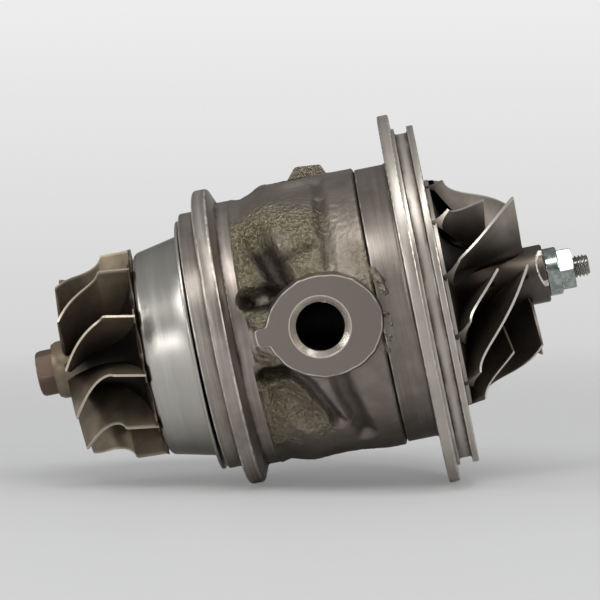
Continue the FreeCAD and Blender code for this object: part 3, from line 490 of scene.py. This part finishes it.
# Painted shade: near black in the hollows
colour = add(tree, "Mix", {0: hollow_shade, 6: colour, 7: linear("#2c2620")}, data_type="RGBA")[2]
finish(tree, shader, colour, rough, 0.92, height, 0.8, 0.0005)
skin_points = np.concatenate([outer.reshape(-1, 3), inner.reshape(-1, 3)])
shell = (skin_points, np.concatenate([top, top[:, ::-1] + count, walls]))
masks = {"hammered": [hammered, hammered], "painted_hollow_shade": [painted_hollow_shade, painted_hollow_shade]}
make_piece("casting_skin", [shell], skin_iron, "housing", sharp=70.0, masks=masks)


# Port faces: the milled top of each water port, an oval that runs out into a small tab towards the
# turbine. Its edge is as uneven as the casting under it, and made pale, partly where parts knocked it
# and partly as a painted highlight.

port_turns = np.concatenate([np.linspace(-162, 162, 260), np.linspace(162.4, 197.6, 90)])
turned_to = np.radians(port_turns)
oval = 1 / np.hypot(np.cos(turned_to) / boss_half, np.sin(turned_to) / boss_rise)
off_tab = np.abs((port_turns % 360) - 180)
tab_reach = 2.2 / (1 + np.exp((off_tab - 8.0) / 0.5)) + 0.7 * np.exp(-(off_tab / 14.0) ** 2)
wave = 0.06 * np.sin(7 * turned_to + 1) + 0.05 * np.sin(17 * turned_to) + 0.03 * np.sin(29 * turned_to + 2)
edge = oval + tab_reach + wave
foot, face_top = 29.6, port_face + 0.04
levels = np.array([foot, 32.7, 32.98, face_top, face_top, face_top, foot])
cut_back = np.array([-0.5, -0.05, 0.05, 0.2, 0.4])
face_x = [boss_x + (edge - cut) * np.cos(turned_to) for cut in cut_back]
face_z = [(edge - cut) * np.sin(turned_to) for cut in cut_back]
hole_x, hole_z = port_x + chamfer_r * np.cos(turned_to), chamfer_r * np.sin(turned_to)
face_x, face_z = np.array(face_x + [hole_x, hole_x]), np.array(face_z + [hole_z, hole_z])
face_y = np.broadcast_to(levels[:, None], face_x.shape)
# Rim rows made pale: partly rubbed wear, partly a painted highlight
rubbed_and_highlit = np.zeros(face_x.shape)
rubbed_and_highlit[2:4] = 0.8
for side, name in ((-1, "near_port_face"), (1, "far_port_face")):
    spots = np.stack([face_x, side * face_y, face_z], -1)
    quads = faces_of(*face_x.shape, closed_rows=True, closed_columns=True)
    make_piece(name, [(spots, quads)], iron, "housing", masks={"rubbed_and_highlit": [rubbed_and_highlit]})


# Heat shield: stainless cup turned bright, loose on the housing's nose. The lathe leaves fine rings, so
# highlights stretch along the shaft, and a painted dark reflection lies by the turbine wheel.

shield_steel, tree, shader, mm = new_material("turned_stainless_steel")
place = turned_place(tree, mm, 0.03)[0]
colour, rough, rings = turned_finish(tree, place, "#aeaba4", "#bcb9b2", 0.3, 0.31, 0.05)
# A dark reflection painted on the cup by the turbine wheel
dark_reflection_at, dark_reflection_shape = (-14.4, -27.0, 6.5), (0.4, 0.1, 0.17)
from_dark_reflection = add(tree, "VectorMath", (mm, dark_reflection_at), operation="SUBTRACT")[0]
from_dark_reflection = add(tree, "VectorMath", (from_dark_reflection, dark_reflection_shape), operation="MULTIPLY")[0]
from_dark_reflection = add(tree, "VectorMath", (from_dark_reflection,), operation="LENGTH")["Value"]
cloud = add(tree, "TexNoise", {"Vector": mm, "Scale": 1 / 2.0, "Detail": 3.0, "Roughness": 0.55})["Fac"]
from_dark_reflection = add(tree, "Math", (cloud, 0.7, from_dark_reflection), operation="MULTIPLY_ADD")[0]
painted_dark_reflection = add(tree, "MapRange", (from_dark_reflection, 0.9, 1.5, 0.72, 0.0))[0]
colour = add(tree, "Mix", {0: painted_dark_reflection, 6: colour, 7: linear("#3a352f")}, data_type="RGBA")[2]
cloud = add(tree, "TexNoise", {"Vector": mm, "Scale": 1 / 2.5, "Detail": 3.0, "Roughness": 0.55})["Fac"]
height = add(tree, "Math", (cloud, 0.8, rings), operation="MULTIPLY_ADD")[0]
finish(tree, shader, colour, rough, 1.0, height, 0.12, 0.0001)
tangent = add(tree, "Tangent", direction_type="RADIAL", axis="X")[0]
tree.links.new(tangent, shader.inputs["Tangent"])
shader.inputs["Anisotropic"].default_value = 0.1
dress("heat_shield", shield_steel)


# Turbine wheel: investment cast nickel alloy, brown from heat, its blade tips ground bright when the
# wheel was balanced. The hub is scalloped between the blades and ends in the hexagon it is held by.
# Painted shade darkens the blades towards their roots and the hub between them.

def around(x, r, turn):
    """Points from stations, radii and angles in degrees: 0 faces the near port and 90 points down."""
    angle = np.radians(turn)
    x, r, angle = np.broadcast_arrays(x, r, angle)
    return np.stack([x, -r * np.cos(angle), -r * np.sin(angle)], -1)


def blade_shell(root, tip, thick, nose, rim_gain=0.0, steps=26):
    """Closed blade: a section goes up one side and back down the other between its root and tip lines.

    root and tip are points from the rim to the far end, and thick gives the thickness at each share of
    the height. To it comes rim_gain at the root's rim end, which falls as a bell curve up the height and
    along the blade. The far end is rounded as a half ellipse, nose long, and the tip is closed flat.
    """
    height = np.linspace(0, 1, steps)[:, None]
    middle = root[None] + (tip - root)[None] * height[..., None]
    normal = np.cross(np.gradient(middle, axis=1), np.broadcast_to((tip - root)[None], middle.shape))
    normal /= np.linalg.norm(normal, axis=-1, keepdims=True)
    run = np.cumsum(np.linalg.norm(np.diff(middle, axis=1), axis=-1), axis=1)
    run = np.concatenate([np.zeros((steps, 1)), run], axis=1)
    gain_up, gain_along = 0.35, 0.05
    gain = np.exp(-(height / gain_up) ** 2 - (run / run[:, -1:] / gain_along) ** 2)
    half = (thick(height) + rim_gain * gain) / 2
    near = np.clip((run[:, -1:] - run) / nose, 0, 1)
    half = half * np.sqrt(np.clip(1 - (1 - near) ** 2, 0, 1))
    one, other = middle + normal * half[..., None], middle - normal * half[..., None]
    loop = np.concatenate([one, other[:, ::-1]], axis=1)
    first = np.broadcast_to(loop[:1].mean(axis=1, keepdims=True), loop[:1].shape)
    flat_tip = (loop[-1:] + loop[-1:, ::-1]) / 2
    shell = np.concatenate([first, loop, flat_tip])
    ground = np.zeros(shell.shape[:2])
    ground[-2:] = 1.0
    high = np.concatenate([[0.0], np.linspace(0, 1, steps), [1.0]])[:, None]
    return shell, faces_of(*shell.shape[:2], closed_columns=True), ground, np.broadcast_to(high, ground.shape)


def turned_shell(shell, degrees):
    """The shell turned about the shaft's axis."""
    cosine, sine = np.cos(np.radians(degrees)), np.sin(np.radians(degrees))
    return shell @ np.array([[1, 0, 0], [0, cosine, sine], [0, -sine, cosine]])


turbine_blades, turbine_first = 11, 8.7
turbine_r, exducer_r, turbine_hub_r = 23.46, 20.06, 6.5
back_x, corner_x, shroud_x, exducer_x, nose_x = -16.1, -23.3, -29.6, -33.1, -37.8
rim_x, rake = -16.5, 1.9
hub_out = 24.0
hub_reach_x, hub_reach_r = rim_x - exducer_x, hub_out - turbine_hub_r
scallop_at, scallop_r = 24.9, 5.3


def shroud_line(x):
    """Radius of the ground blade tips: straight, then a quarter ellipse in to the exducer's size."""
    part = np.clip((x - shroud_x) / (corner_x - shroud_x), 0, 1)
    return np.where(x >= corner_x, turbine_r, turbine_r - (turbine_r - exducer_r) * np.sqrt(1 - part ** 2))


def blade_turn(x):
    """Angle of a turbine blade at a station: a slight lean, then a sweep that grows as a square."""
    leant, swept = -3.5, 26.0
    lean = leant * (back_x - x) / (back_x - corner_x)
    part = np.clip((corner_x - x) / (corner_x - exducer_x), 0, 1)
    return np.where(x > corner_x, lean, leant + swept * part ** 2)


def turbine_thick(height):
    """Thick at the root with a fillet into the hub, thin at the tip."""
    return 1.8 - 1.3 * height + 1.5 * np.exp(-(height / 0.09) ** 2)


stations = np.unique(np.concatenate([
    np.linspace(back_x, corner_x, 14), corner_x - (corner_x - shroud_x) * np.linspace(0, 1, 30) ** 1.6,
    np.linspace(shroud_x, exducer_x + 0.5, 14), np.linspace(exducer_x + 0.5, exducer_x, 7)
]))[::-1]
share = (back_x - stations) / (back_x - exducer_x)
root_r = 5.0
tip_r = np.full_like(stations, turbine_r)

# A tip's station and its radius hang on each other, so each is worked out from the other in turns
for _ in range(12):
    tip_x = stations - rake * share * (1 - (tip_r - root_r) / (hub_out - root_r))
    tip_r = shroud_line(tip_x)
root = around(stations - rake * share, root_r, blade_turn(stations))
tip = around(tip_x, tip_r, blade_turn(stations))
shell, quads, ground, high = blade_shell(root, tip, turbine_thick, nose=0.45)
shells, masks = [], {"ground": [], "high": []}
for i in range(turbine_blades):
    shells.append((turned_shell(shell, turbine_first + 360 * i / turbine_blades), quads))
    masks["ground"].append(ground)
    masks["high"].append(high)

hub_turns = np.linspace(0, 360, turbine_blades * 36, endpoint=False)
from_scallop = np.radians((hub_turns - turbine_first) % (360 / turbine_blades) - 180 / turbine_blades)
inner_chord = scallop_r ** 2 - (scallop_at * np.sin(from_scallop)) ** 2
scalloped = scallop_at * np.cos(from_scallop) - np.sqrt(np.clip(inner_chord, 0, None))
rim_r = np.where(inner_chord > 0, np.minimum(scalloped, turbine_r), turbine_r)
front_r = turbine_hub_r + (rim_r - turbine_hub_r) * np.linspace(0, 1, 30)[:, None]
dip = np.clip((hub_out - front_r) / hub_reach_r, 0, 1)
front_x = exducer_x + hub_reach_x * np.sqrt(1 - dip ** 2)
nose_part = np.linspace(0, 1, 6)[:, None]
nose_r = turbine_hub_r - 0.5 * np.clip(1 - nose_part * 3, 0, 1) ** 2
ring = np.ones_like(hub_turns)
hub_x = np.concatenate([
    nose_x * ring[None], nose_x + (exducer_x - nose_x) * nose_part * ring, front_x,
    np.linspace(0.3, 1, 4)[:, None] * (back_x - front_x[-1]) + front_x[-1], np.full((2, 1), back_x) * ring,
])
hub_r = np.concatenate([
    0 * ring[None], nose_r * ring, front_r, np.ones((4, 1)) * rim_r, np.array([[7.4], [0.0]]) * ring,
])
hub = around(hub_x, hub_r, hub_turns)
shells.append((hub, faces_of(*hub.shape[:2], closed_columns=True)))
masks["ground"].append(np.zeros(hub.shape[:2]))
# The hub's share of height: low between the blades, where painted shade darkens it
masks["high"].append(np.maximum(np.clip((exducer_x + 2.0 - hub_x) / 2.0, 0, 1), 0.45 * (hub_x > rim_x)))

hex_flats, hex_turn, corner_cut = 9.4, 9.0, 0.06
hex_end = nose_x - 3.9
turns = np.linspace(0, 360, 96, endpoint=False)
from_flat = np.radians((turns - hex_turn) % 60 - 30)
hex_r = np.minimum(hex_flats / 2 / np.cos(from_flat), hex_flats / np.sqrt(3) - corner_cut)
hex_x, hex_rows = [], []
for station, limit in (
    (nose_x + 0.4, 9.0), (nose_x - 0.2, 9.0), (hex_end + 0.9, 9.0), (hex_end + 0.25, 4.95), (hex_end, 4.55),
    (hex_end, 0.0),
):
    hex_x.append(np.full_like(turns, station))
    hex_rows.append(np.minimum(hex_r, limit))
nose = around(np.array(hex_x), np.array(hex_rows), turns)
shells.append((nose, faces_of(*nose.shape[:2], closed_columns=True)))
masks["ground"].append(np.zeros(nose.shape[:2]))
masks["high"].append(np.ones(nose.shape[:2]))

turbine_alloy, tree, shader, mm = new_material("investment_cast_nickel_alloy")
fine = add(tree, "TexNoise", {"Vector": mm, "Scale": 1 / 0.5, "Detail": 4.0, "Roughness": 0.6})["Fac"]
ground = add(tree, "Attribute", attribute_name="ground")["Fac"]
high = add(tree, "Attribute", attribute_name="high")["Fac"]
heat = {0: patches(tree, mm, 5.0, 0.35, 0.65), 6: linear("#6b5f50"), 7: linear("#837663")}
colour = add(tree, "Mix", heat, data_type="RGBA")[2]
along = add(tree, "SeparateXYZ", (mm,))[0]
on_hexagon = add(tree, "MapRange", (along, nose_x - 0.2, nose_x + 0.4, 0.8, 0.0))[0]
colour = add(tree, "Mix", {0: on_hexagon, 6: colour, 7: linear("#614e43")}, data_type="RGBA")[2]
# Painted shade: near black towards the blades' roots and on the hub between them
out_of_root_shade = add(tree, "MapRange", (high, 0.12, 0.85))[0]
colour = add(tree, "Mix", {0: out_of_root_shade, 6: linear("#1c1711"), 7: colour}, data_type="RGBA")[2]
colour = add(tree, "Mix", {0: ground, 6: colour, 7: linear("#c0b4a2")}, data_type="RGBA")[2]
rough = add(tree, "MapRange", (fine, 0.3, 0.7, 0.36, 0.44))[0]
finish(tree, shader, colour, rough, 0.68, fine, 0.15, 0.00006)
wheel = make_piece("turbine_wheel_cast", shells, turbine_alloy, "rotor", masks=masks)
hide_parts("turbine_wheel")


# Compressor wheel: aluminium alloy, cast and satin all over, with its blade tips turned bright and a
# scallop ground in the nose to balance it, its edge pale partly as ground metal, partly as a painted
# highlight. Six full blades and six splitters. Painted shade darkens the blades towards their roots.

compressor_blades, compressor_first = 6, -11.0
comp_back, comp_start, comp_nose = 51.37, 70.0, 74.0
comp_r, inducer_r, comp_hub_r, bore_r = 25.57, 19.37, 6.5, 2.6
comp_out = 26.1
comp_reach_x, comp_reach_r = 17.8, comp_out - comp_hub_r
tip_reach_x, tip_reach_r = 14.6, comp_r - inducer_r
wrap, lean = 54.0, 8.5
splitter_run = 6.5
splitter_share = np.degrees(np.arccos(splitter_run / tip_reach_x)) / 90


def wrapped(done, whole):
    """Angle round the shaft: a part that falls evenly and a part that falls late, as a power."""
    return whole * (0.75 * (1 - done ** 2.8) + 0.25 * (1 - done))


def compressor_thick(height):
    """Thinner to the tip, with a fillet into the hub."""
    return 1.25 - 0.72 * height + 1.1 * np.exp(-(height / 0.08) ** 2)


lift_from = np.arcsin((comp_out - comp_r) / comp_reach_r)
shells, masks = [], {"ground": [], "high": []}
for share_end, offset in ((1.0, 0.0), (splitter_share, 30.0)):
    done = share_end * np.concatenate([np.linspace(0, 0.94, 40), np.linspace(0.95, 1, 9)])
    lift = np.radians(90 * done)
    root_lift = lift_from + (np.pi / 2 - lift_from) * done
    root = around(
        comp_start - comp_reach_x * np.cos(root_lift) - 0.3,
        comp_out - comp_reach_r * np.sin(root_lift) - 0.45 * done,
        wrapped(done, wrap + lean) + compressor_first + offset,
    )
    tip = around(
        comp_start - tip_reach_x * np.cos(lift), comp_r - tip_reach_r * np.sin(lift),
        wrapped(done, wrap) + compressor_first + offset,
    )
    shell, quads, ground, high = blade_shell(root, tip, compressor_thick, nose=0.5, rim_gain=1.5)
    for i in range(compressor_blades):
        shells.append((turned_shell(shell, 360 * i / compressor_blades), quads))
        masks["ground"].append(ground)
        masks["high"].append(high)

lift = np.linspace(lift_from, np.pi / 2, 40)
nose_line = np.linspace(comp_start + 0.6, comp_nose - 0.3, 22)
hub_x = np.concatenate([
    [comp_back, comp_back, comp_back + 0.1, comp_back + 0.65], comp_start - comp_reach_x * np.cos(lift),
    nose_line, [comp_nose, comp_nose]
])[:, None]
hub_r = np.concatenate([
    [bore_r, comp_r - 0.12, comp_r, comp_r], comp_out - comp_reach_r * np.sin(lift),
    np.full_like(nose_line, comp_hub_r), [comp_hub_r - 0.3, bore_r]
])[:, None]
turns = np.linspace(0, 360, 360, endpoint=False)[None]
scallop_turn, scallop_half, scallop_x, scallop_deep = -16.0, 40.0, 72.0, 0.5
off = ((turns - scallop_turn + 180) % 360 - 180) / scallop_half
bite = np.clip((hub_x - scallop_x - 1.1 * off ** 2) / 0.4, 0, 1) * np.sqrt(np.clip(1 - off ** 2, 0, 1))
on_nose = hub_x > comp_start
hub_r = np.where(hub_r > 6.0, hub_r - scallop_deep * bite * on_nose, hub_r)
hub = around(hub_x, hub_r, turns)
shells.append((hub, faces_of(*hub.shape[:2], closed_rows=True, closed_columns=True)))
turned_rim = np.clip((hub_r - comp_r + 0.2) / 0.1, 0, 1)
# The scallop's edge made pale: partly ground metal, partly a painted highlight
ground_and_highlit_arc = 0.8 * (bite > 0.02) * (bite < 0.7) * on_nose
masks["ground"].append(np.maximum(0.4 * turned_rim, ground_and_highlit_arc))
# The hub stays out of the painted root shade towards the nose and the rim
hub_out_of_shade = 0.22 * np.clip((hub_x - comp_start + 6) / 8, 0, 1) + 0.3 * np.clip((hub_r - 18) / 7, 0, 1)
masks["high"].append(np.maximum(turned_rim, hub_out_of_shade))

wheel_aluminium, tree, shader, mm = new_material("cast_aluminium_alloy")
fine = add(tree, "TexNoise", {"Vector": mm, "Scale": 1 / 0.4, "Detail": 4.0, "Roughness": 0.6})["Fac"]
ground = add(tree, "Attribute", attribute_name="ground")["Fac"]
high = add(tree, "Attribute", attribute_name="high")["Fac"]
satin = {0: patches(tree, mm, 6.0, 0.35, 0.65), 6: linear("#8a8177"), 7: linear("#a1988e")}
colour = add(tree, "Mix", satin, data_type="RGBA")[2]
# Painted shade: near black towards the blades' roots and on the hub between them
out_of_root_shade = add(tree, "MapRange", (high, 0.0, 0.8))[0]
colour = add(tree, "Mix", {0: out_of_root_shade, 6: linear("#2a241f"), 7: colour}, data_type="RGBA")[2]
colour = add(tree, "Mix", {0: ground, 6: colour, 7: linear("#d6d1c8")}, data_type="RGBA")[2]
rough = add(tree, "MapRange", (fine, 0.3, 0.7, 0.37, 0.45))[0]
finish(tree, shader, colour, rough, 1.0, fine, 0.12, 0.00005)
wheel = make_piece(
    "compressor_wheel_cast", shells, wheel_aluminium, "rotor", masks=masks
)
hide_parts("compressor_wheel")


# Shaft, its nut and the thread: the shaft is ground steel, the nut bright zinc over steel. The thread
# is M5 x 0.8, four turns of it past the nut.

zinc, tree, shader, mm = new_material("bright_zinc_plating")
broad = add(tree, "TexNoise", {"Vector": mm, "Scale": 1 / 1.2, "Detail": 3.0, "Roughness": 0.55})["Fac"]
tint = add(tree, "MapRange", (broad, 0.4, 0.6))[0]
colour = add(tree, "Mix", {0: tint, 6: linear("#868d89"), 7: linear("#a9afab")}, data_type="RGBA")[2]
rough = add(tree, "MapRange", (broad, 0.3, 0.7, 0.16, 0.26))[0]
finish(tree, shader, colour, rough, 1.0)
dress("lock_nut", zinc)

thread_from, thread_to, thread_pitch = 73.5, 83.7, 0.8
crest_r, thread_root_r, thread_step = 2.5, 2.04, 0.05
rows = int((thread_to - thread_from) / thread_step)
x_line = np.linspace(thread_from, thread_to, rows)[:, None]
turns = np.linspace(0, 360, 90, endpoint=False)[None]
phase = (x_line / thread_pitch - turns / 360) % 1
thread_r = crest_r - (crest_r - thread_root_r) * np.clip(2.6 * np.abs(phase - 0.5) - 0.12, 0, 1)
thread_r = np.minimum(thread_r, crest_r - 0.55 + np.clip(thread_to - x_line, 0, 1))
shaft_line = np.array([
    (-15.2, 0.0), (-15.2, 7.4), (-11.85, 7.4), (-11.85, 6.15), (-10.35, 6.15), (-10.35, 7.4), (-7.4, 7.4),
    (-7.2, 7.2), (-7.2, 4.2), (-7.0, 4.0), (9.1, 4.0), (9.6, 3.8), (26.95, 3.8), (27.45, 4.0), (36.0, 4.0),
    (36.0, 2.5), (73.4, 2.5),
])
shaft_x = np.concatenate([shaft_line[:, :1], x_line, [[thread_to]]])
shaft_r = np.concatenate([np.repeat(shaft_line[:, 1:], turns.size, axis=1), thread_r, np.zeros_like(turns)])
whole_shaft = around(shaft_x, shaft_r, turns)

steel, tree, shader, mm = new_material("ground_steel")
place = turned_place(tree, mm)[0]
colour, rough, rings = turned_finish(tree, place, "#8d8a85", "#b5b2ad", 0.15, 0.22)
finish(tree, shader, colour, rough, 1.0, rings, 0.3, 0.00004)
shell = (whole_shaft, faces_of(*whole_shaft.shape[:2], closed_columns=True))
threaded_shaft = make_piece("shaft_with_thread", [shell], steel, "rotor", sharp=40.0)
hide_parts("rotor_shaft")
for name in ("thrust_ring", "thrust_sleeve", "thrust_dowel_near", "thrust_dowel_far"):
    dress(name, steel)


# Bearings and thrust plate: leaded bronze, turned, warm and dull.

bronze, tree, shader, mm = new_material("leaded_bronze")
place = turned_place(tree, mm)[0]
colour, rough, rings = turned_finish(tree, place, "#a8804a", "#c79e63", 0.2, 0.34)
finish(tree, shader, colour, rough, 1.0, rings, 0.3, 0.00005)
for name in ("turbine_journal_bearing", "compressor_journal_bearing", "thrust_bearing"):
    dress(name, bronze)


# Rings, deflector and seal insert: rings of oiled spring steel, dark and satin, a brighter deflector
# pressed from sheet steel, and the turned aluminium insert that closes the housing behind the compressor
# wheel, on a matt rubber ring.

spring_steel, tree, shader, mm = new_material("oiled_spring_steel")
broad = add(tree, "TexNoise", {"Vector": mm, "Scale": 1 / 2.0, "Detail": 3.0, "Roughness": 0.55})["Fac"]
tint = add(tree, "MapRange", (broad, 0.35, 0.65))[0]
colour = add(tree, "Mix", {0: tint, 6: linear("#5d5c5a"), 7: linear("#7d7b78")}, data_type="RGBA")[2]
rough = add(tree, "MapRange", (broad, 0.3, 0.7, 0.3, 0.42))[0]
finish(tree, shader, colour, rough, 1.0)
for name in (
    "turbine_piston_ring", "compressor_piston_ring", "turbine_outer_snap_ring", "turbine_inner_snap_ring",
    "compressor_inner_snap_ring", "insert_snap_ring"
):
    dress(name, spring_steel)

pressed_steel, tree, shader, mm = new_material("pressed_bright_steel")
broad = add(tree, "TexNoise", {"Vector": mm, "Scale": 1 / 3.0, "Detail": 4.0, "Roughness": 0.55})["Fac"]
tint = add(tree, "MapRange", (broad, 0.35, 0.65))[0]
colour = add(tree, "Mix", {0: tint, 6: linear("#96938e"), 7: linear("#b4b1ab")}, data_type="RGBA")[2]
rough = add(tree, "MapRange", (broad, 0.3, 0.7, 0.24, 0.38))[0]
finish(tree, shader, colour, rough, 1.0)
dress("oil_deflector", pressed_steel)

insert_aluminium, tree, shader, mm = new_material("turned_aluminium")
place = turned_place(tree, mm)[0]
colour, rough, rings = turned_finish(tree, place, "#a5a4a1", "#c6c5c2", 0.25, 0.3)
finish(tree, shader, colour, rough, 1.0, rings, 0.4, 0.00008)
dress("seal_insert", insert_aluminium)

rubber, tree, shader, mm = new_material("nitrile_rubber")
broad = add(tree, "TexNoise", {"Vector": mm, "Scale": 1 / 1.0, "Detail": 4.0, "Roughness": 0.55})["Fac"]
colour = add(tree, "Mix", {0: broad, 6: linear("#1b1b1c"), 7: linear("#2b2b2c")}, data_type="RGBA")[2]
rough = add(tree, "MapRange", (broad, 0.3, 0.7, 0.5, 0.7))[0]
finish(tree, shader, colour, rough, 0.0)
dress("insert_o_ring", rubber)


# Camera: where the photograph was taken from, a long lens a little above the shaft. The picture is
# turned so that the shaft rises to the right.

eye = np.array([51.7, -763.0, 42.7])
aim = np.array([19.0, 0.0, 4.83])
shaft_rise = np.radians(11.34)
ahead = (aim - eye) / np.linalg.norm(aim - eye)
shaft = np.array([1.0, 0, 0]) - ahead[0] * ahead
shaft /= np.linalg.norm(shaft)
above = np.cross(shaft, ahead)
right = shaft * np.cos(shaft_rise) - above * np.sin(shaft_rise)
up = shaft * np.sin(shaft_rise) + above * np.cos(shaft_rise)
lens = bpy.data.cameras.new("camera")
lens.lens = 205.1
lens.clip_start, lens.clip_end = 0.05, 20.0
camera = bpy.data.objects.new("camera", lens)
turn_matrix = Matrix([[right[i], up[i], -ahead[i]] for i in range(3)]).to_4x4()
camera.matrix_world = Matrix.Translation(Vector(eye / 1000)) @ turn_matrix
bpy.context.scene.collection.objects.link(camera)
bpy.context.scene.camera = camera


# Floor and light: a white table that the two flanges lie on, soft boxes above it and a pale wall. The
# table is seen only from above and fades into the wall far from the part, and the wall shows to the
# camera and in reflections.

touch_turbine, touch_compressor = np.array([2.3, 0, -33.42]), np.array([45.0, 0, -41.62])
down_line = (touch_compressor - touch_turbine) / np.linalg.norm(touch_compressor - touch_turbine)
floor_up = np.cross(down_line, np.array([0, 1.0, 0]))
floor_up *= np.sign(floor_up[2])
floor_side = np.cross(floor_up, down_line)
half = 1500.0
corner = np.array([(-1, -1), (1, -1), (1, 1), (-1, 1)]) * half
spots = touch_turbine + corner[:, :1] * down_line + corner[:, 1:] * floor_side
mesh = bpy.data.meshes.new("floor")
mesh.from_pydata(spots / 1000, [], [(0, 1, 2, 3)])
if mesh.polygons[0].normal @ Vector(floor_up) < 0:
    mesh.flip_normals()
floor = bpy.data.objects.new("floor", mesh)
bpy.context.scene.collection.objects.link(floor)
table, tree, shader, mm = new_material("white_table")
shader.inputs["Base Color"].default_value = linear("#c6c6c6")
shader.inputs["Roughness"].default_value = 0.55
under_part, fade_from, fade_to = (19.0, 0.0, -38.0), 110.0, 430.0
away = add(tree, "VectorMath", (mm, under_part), operation="DISTANCE")["Value"]
fade = add(tree, "MapRange", (away, fade_from, fade_to))[0]
back = add(tree, "NewGeometry")["Backfacing"]
hidden = add(tree, "Math", (fade, back), operation="MAXIMUM")[0]
pale = add(tree, "Emission", {"Color": linear("#cfcfcf"), "Strength": 1.0})[0]
seen = add(tree, "LightPath")["Is Camera Ray"]
seen = add(tree, "Math", (seen, 0.28), operation="MULTIPLY")[0]
lifted = add(tree, "MixShader", (seen, shader.outputs[0], pale))[0]
mixed = add(tree, "MixShader", (hidden, lifted, add(tree, "BsdfTransparent")[0]))[0]
tree.links.new(mixed, tree.nodes["Material Output"].inputs["Surface"])
mesh.materials.append(table)


def soft_box(name, azimuth, elevation, distance, width, height, watts):
    """Area lamp that faces the part: azimuth and elevation are in the picture's level frame."""
    aside, lifted = np.radians(azimuth), np.radians(elevation)
    level = np.cross(floor_up, np.cross(down_line, floor_up))
    forward = np.cross(floor_up, level)
    flat = level * np.sin(aside) * np.cos(lifted) - forward * np.cos(aside) * np.cos(lifted)
    way = flat + floor_up * np.sin(lifted)
    lamp = bpy.data.lights.new(name, "AREA")
    lamp.shape, lamp.size, lamp.size_y, lamp.energy = "RECTANGLE", width / 1000, height / 1000, watts
    piece = bpy.data.objects.new(name, lamp)
    middle = np.array([19.0, 0, 0])
    turn = Vector(-way).to_track_quat("-Z", "Y").to_matrix().to_4x4()
    piece.matrix_world = Matrix.Translation(Vector((middle + way * distance) / 1000)) @ turn
    bpy.context.scene.collection.objects.link(piece)


soft_box("key_box", 8, 59, 700, 700, 210, 2.9)
soft_box("left_box", -70, 24, 700, 420, 300, 1.5)
soft_box("front_box", -26, 8, 700, 90, 90, 0.5)
soft_box("right_box", 70, 32, 800, 460, 340, 1.9)

world = bpy.data.worlds.new("studio")
bpy.context.scene.world = world
world.use_nodes = True
tree = world.node_tree
lit = tree.nodes["Background"]
way = add(tree, "TexCoord")["Generated"]
rise = add(tree, "VectorMath", (way, tuple(floor_up)), operation="DOT_PRODUCT")["Value"]
depth = add(tree, "SeparateXYZ", (way,))[1]
low = add(tree, "MapRange", (rise, 0.04, 0.2, 0.75, 0.0))[0]
high = add(tree, "MapRange", (rise, 0.3, 0.95, 0.17, 0.5))[0]
low_or_high = add(tree, "Math", (low, high), operation="MAXIMUM")[0]
behind = add(tree, "MapRange", (depth, 0.2, 0.9, 0.0, 0.4))[0]
room = add(tree, "Math", (low_or_high, behind), operation="ADD")[0]
tree.links.new(room, lit.inputs["Strength"])
lit.inputs["Color"].default_value = linear("#fbfdff")
wall_low = add(tree, "MapRange", (rise, 0.08, 0.24, 1.0, 0.0))[0]
wall_light = add(tree, "Math", (wall_low, high), operation="MAXIMUM")[0]
wall_rise = add(tree, "MapRange", (rise, -0.08, 0.03))[0]
wall_tint = {0: wall_rise, 6: linear("#d1d1d1"), 7: linear("#ededed")}
wall_colour = add(tree, "Mix", wall_tint, data_type="RGBA")[2]
wall = add(tree, "Background", {"Color": wall_colour, "Strength": wall_light})[0]
path = add(tree, "LightPath")
seen = add(tree, "Math", (path["Is Camera Ray"], path["Is Glossy Ray"]), operation="MAXIMUM")[0]
seen = add(tree, "Math", (seen, path["Is Transmission Ray"]), operation="MAXIMUM")[0]
shown = add(tree, "MixShader", (seen, lit.outputs[0], wall))[0]
tree.links.new(shown, tree.nodes["World Output"].inputs["Surface"])
bpy.context.scene.view_settings.view_transform = "Standard"
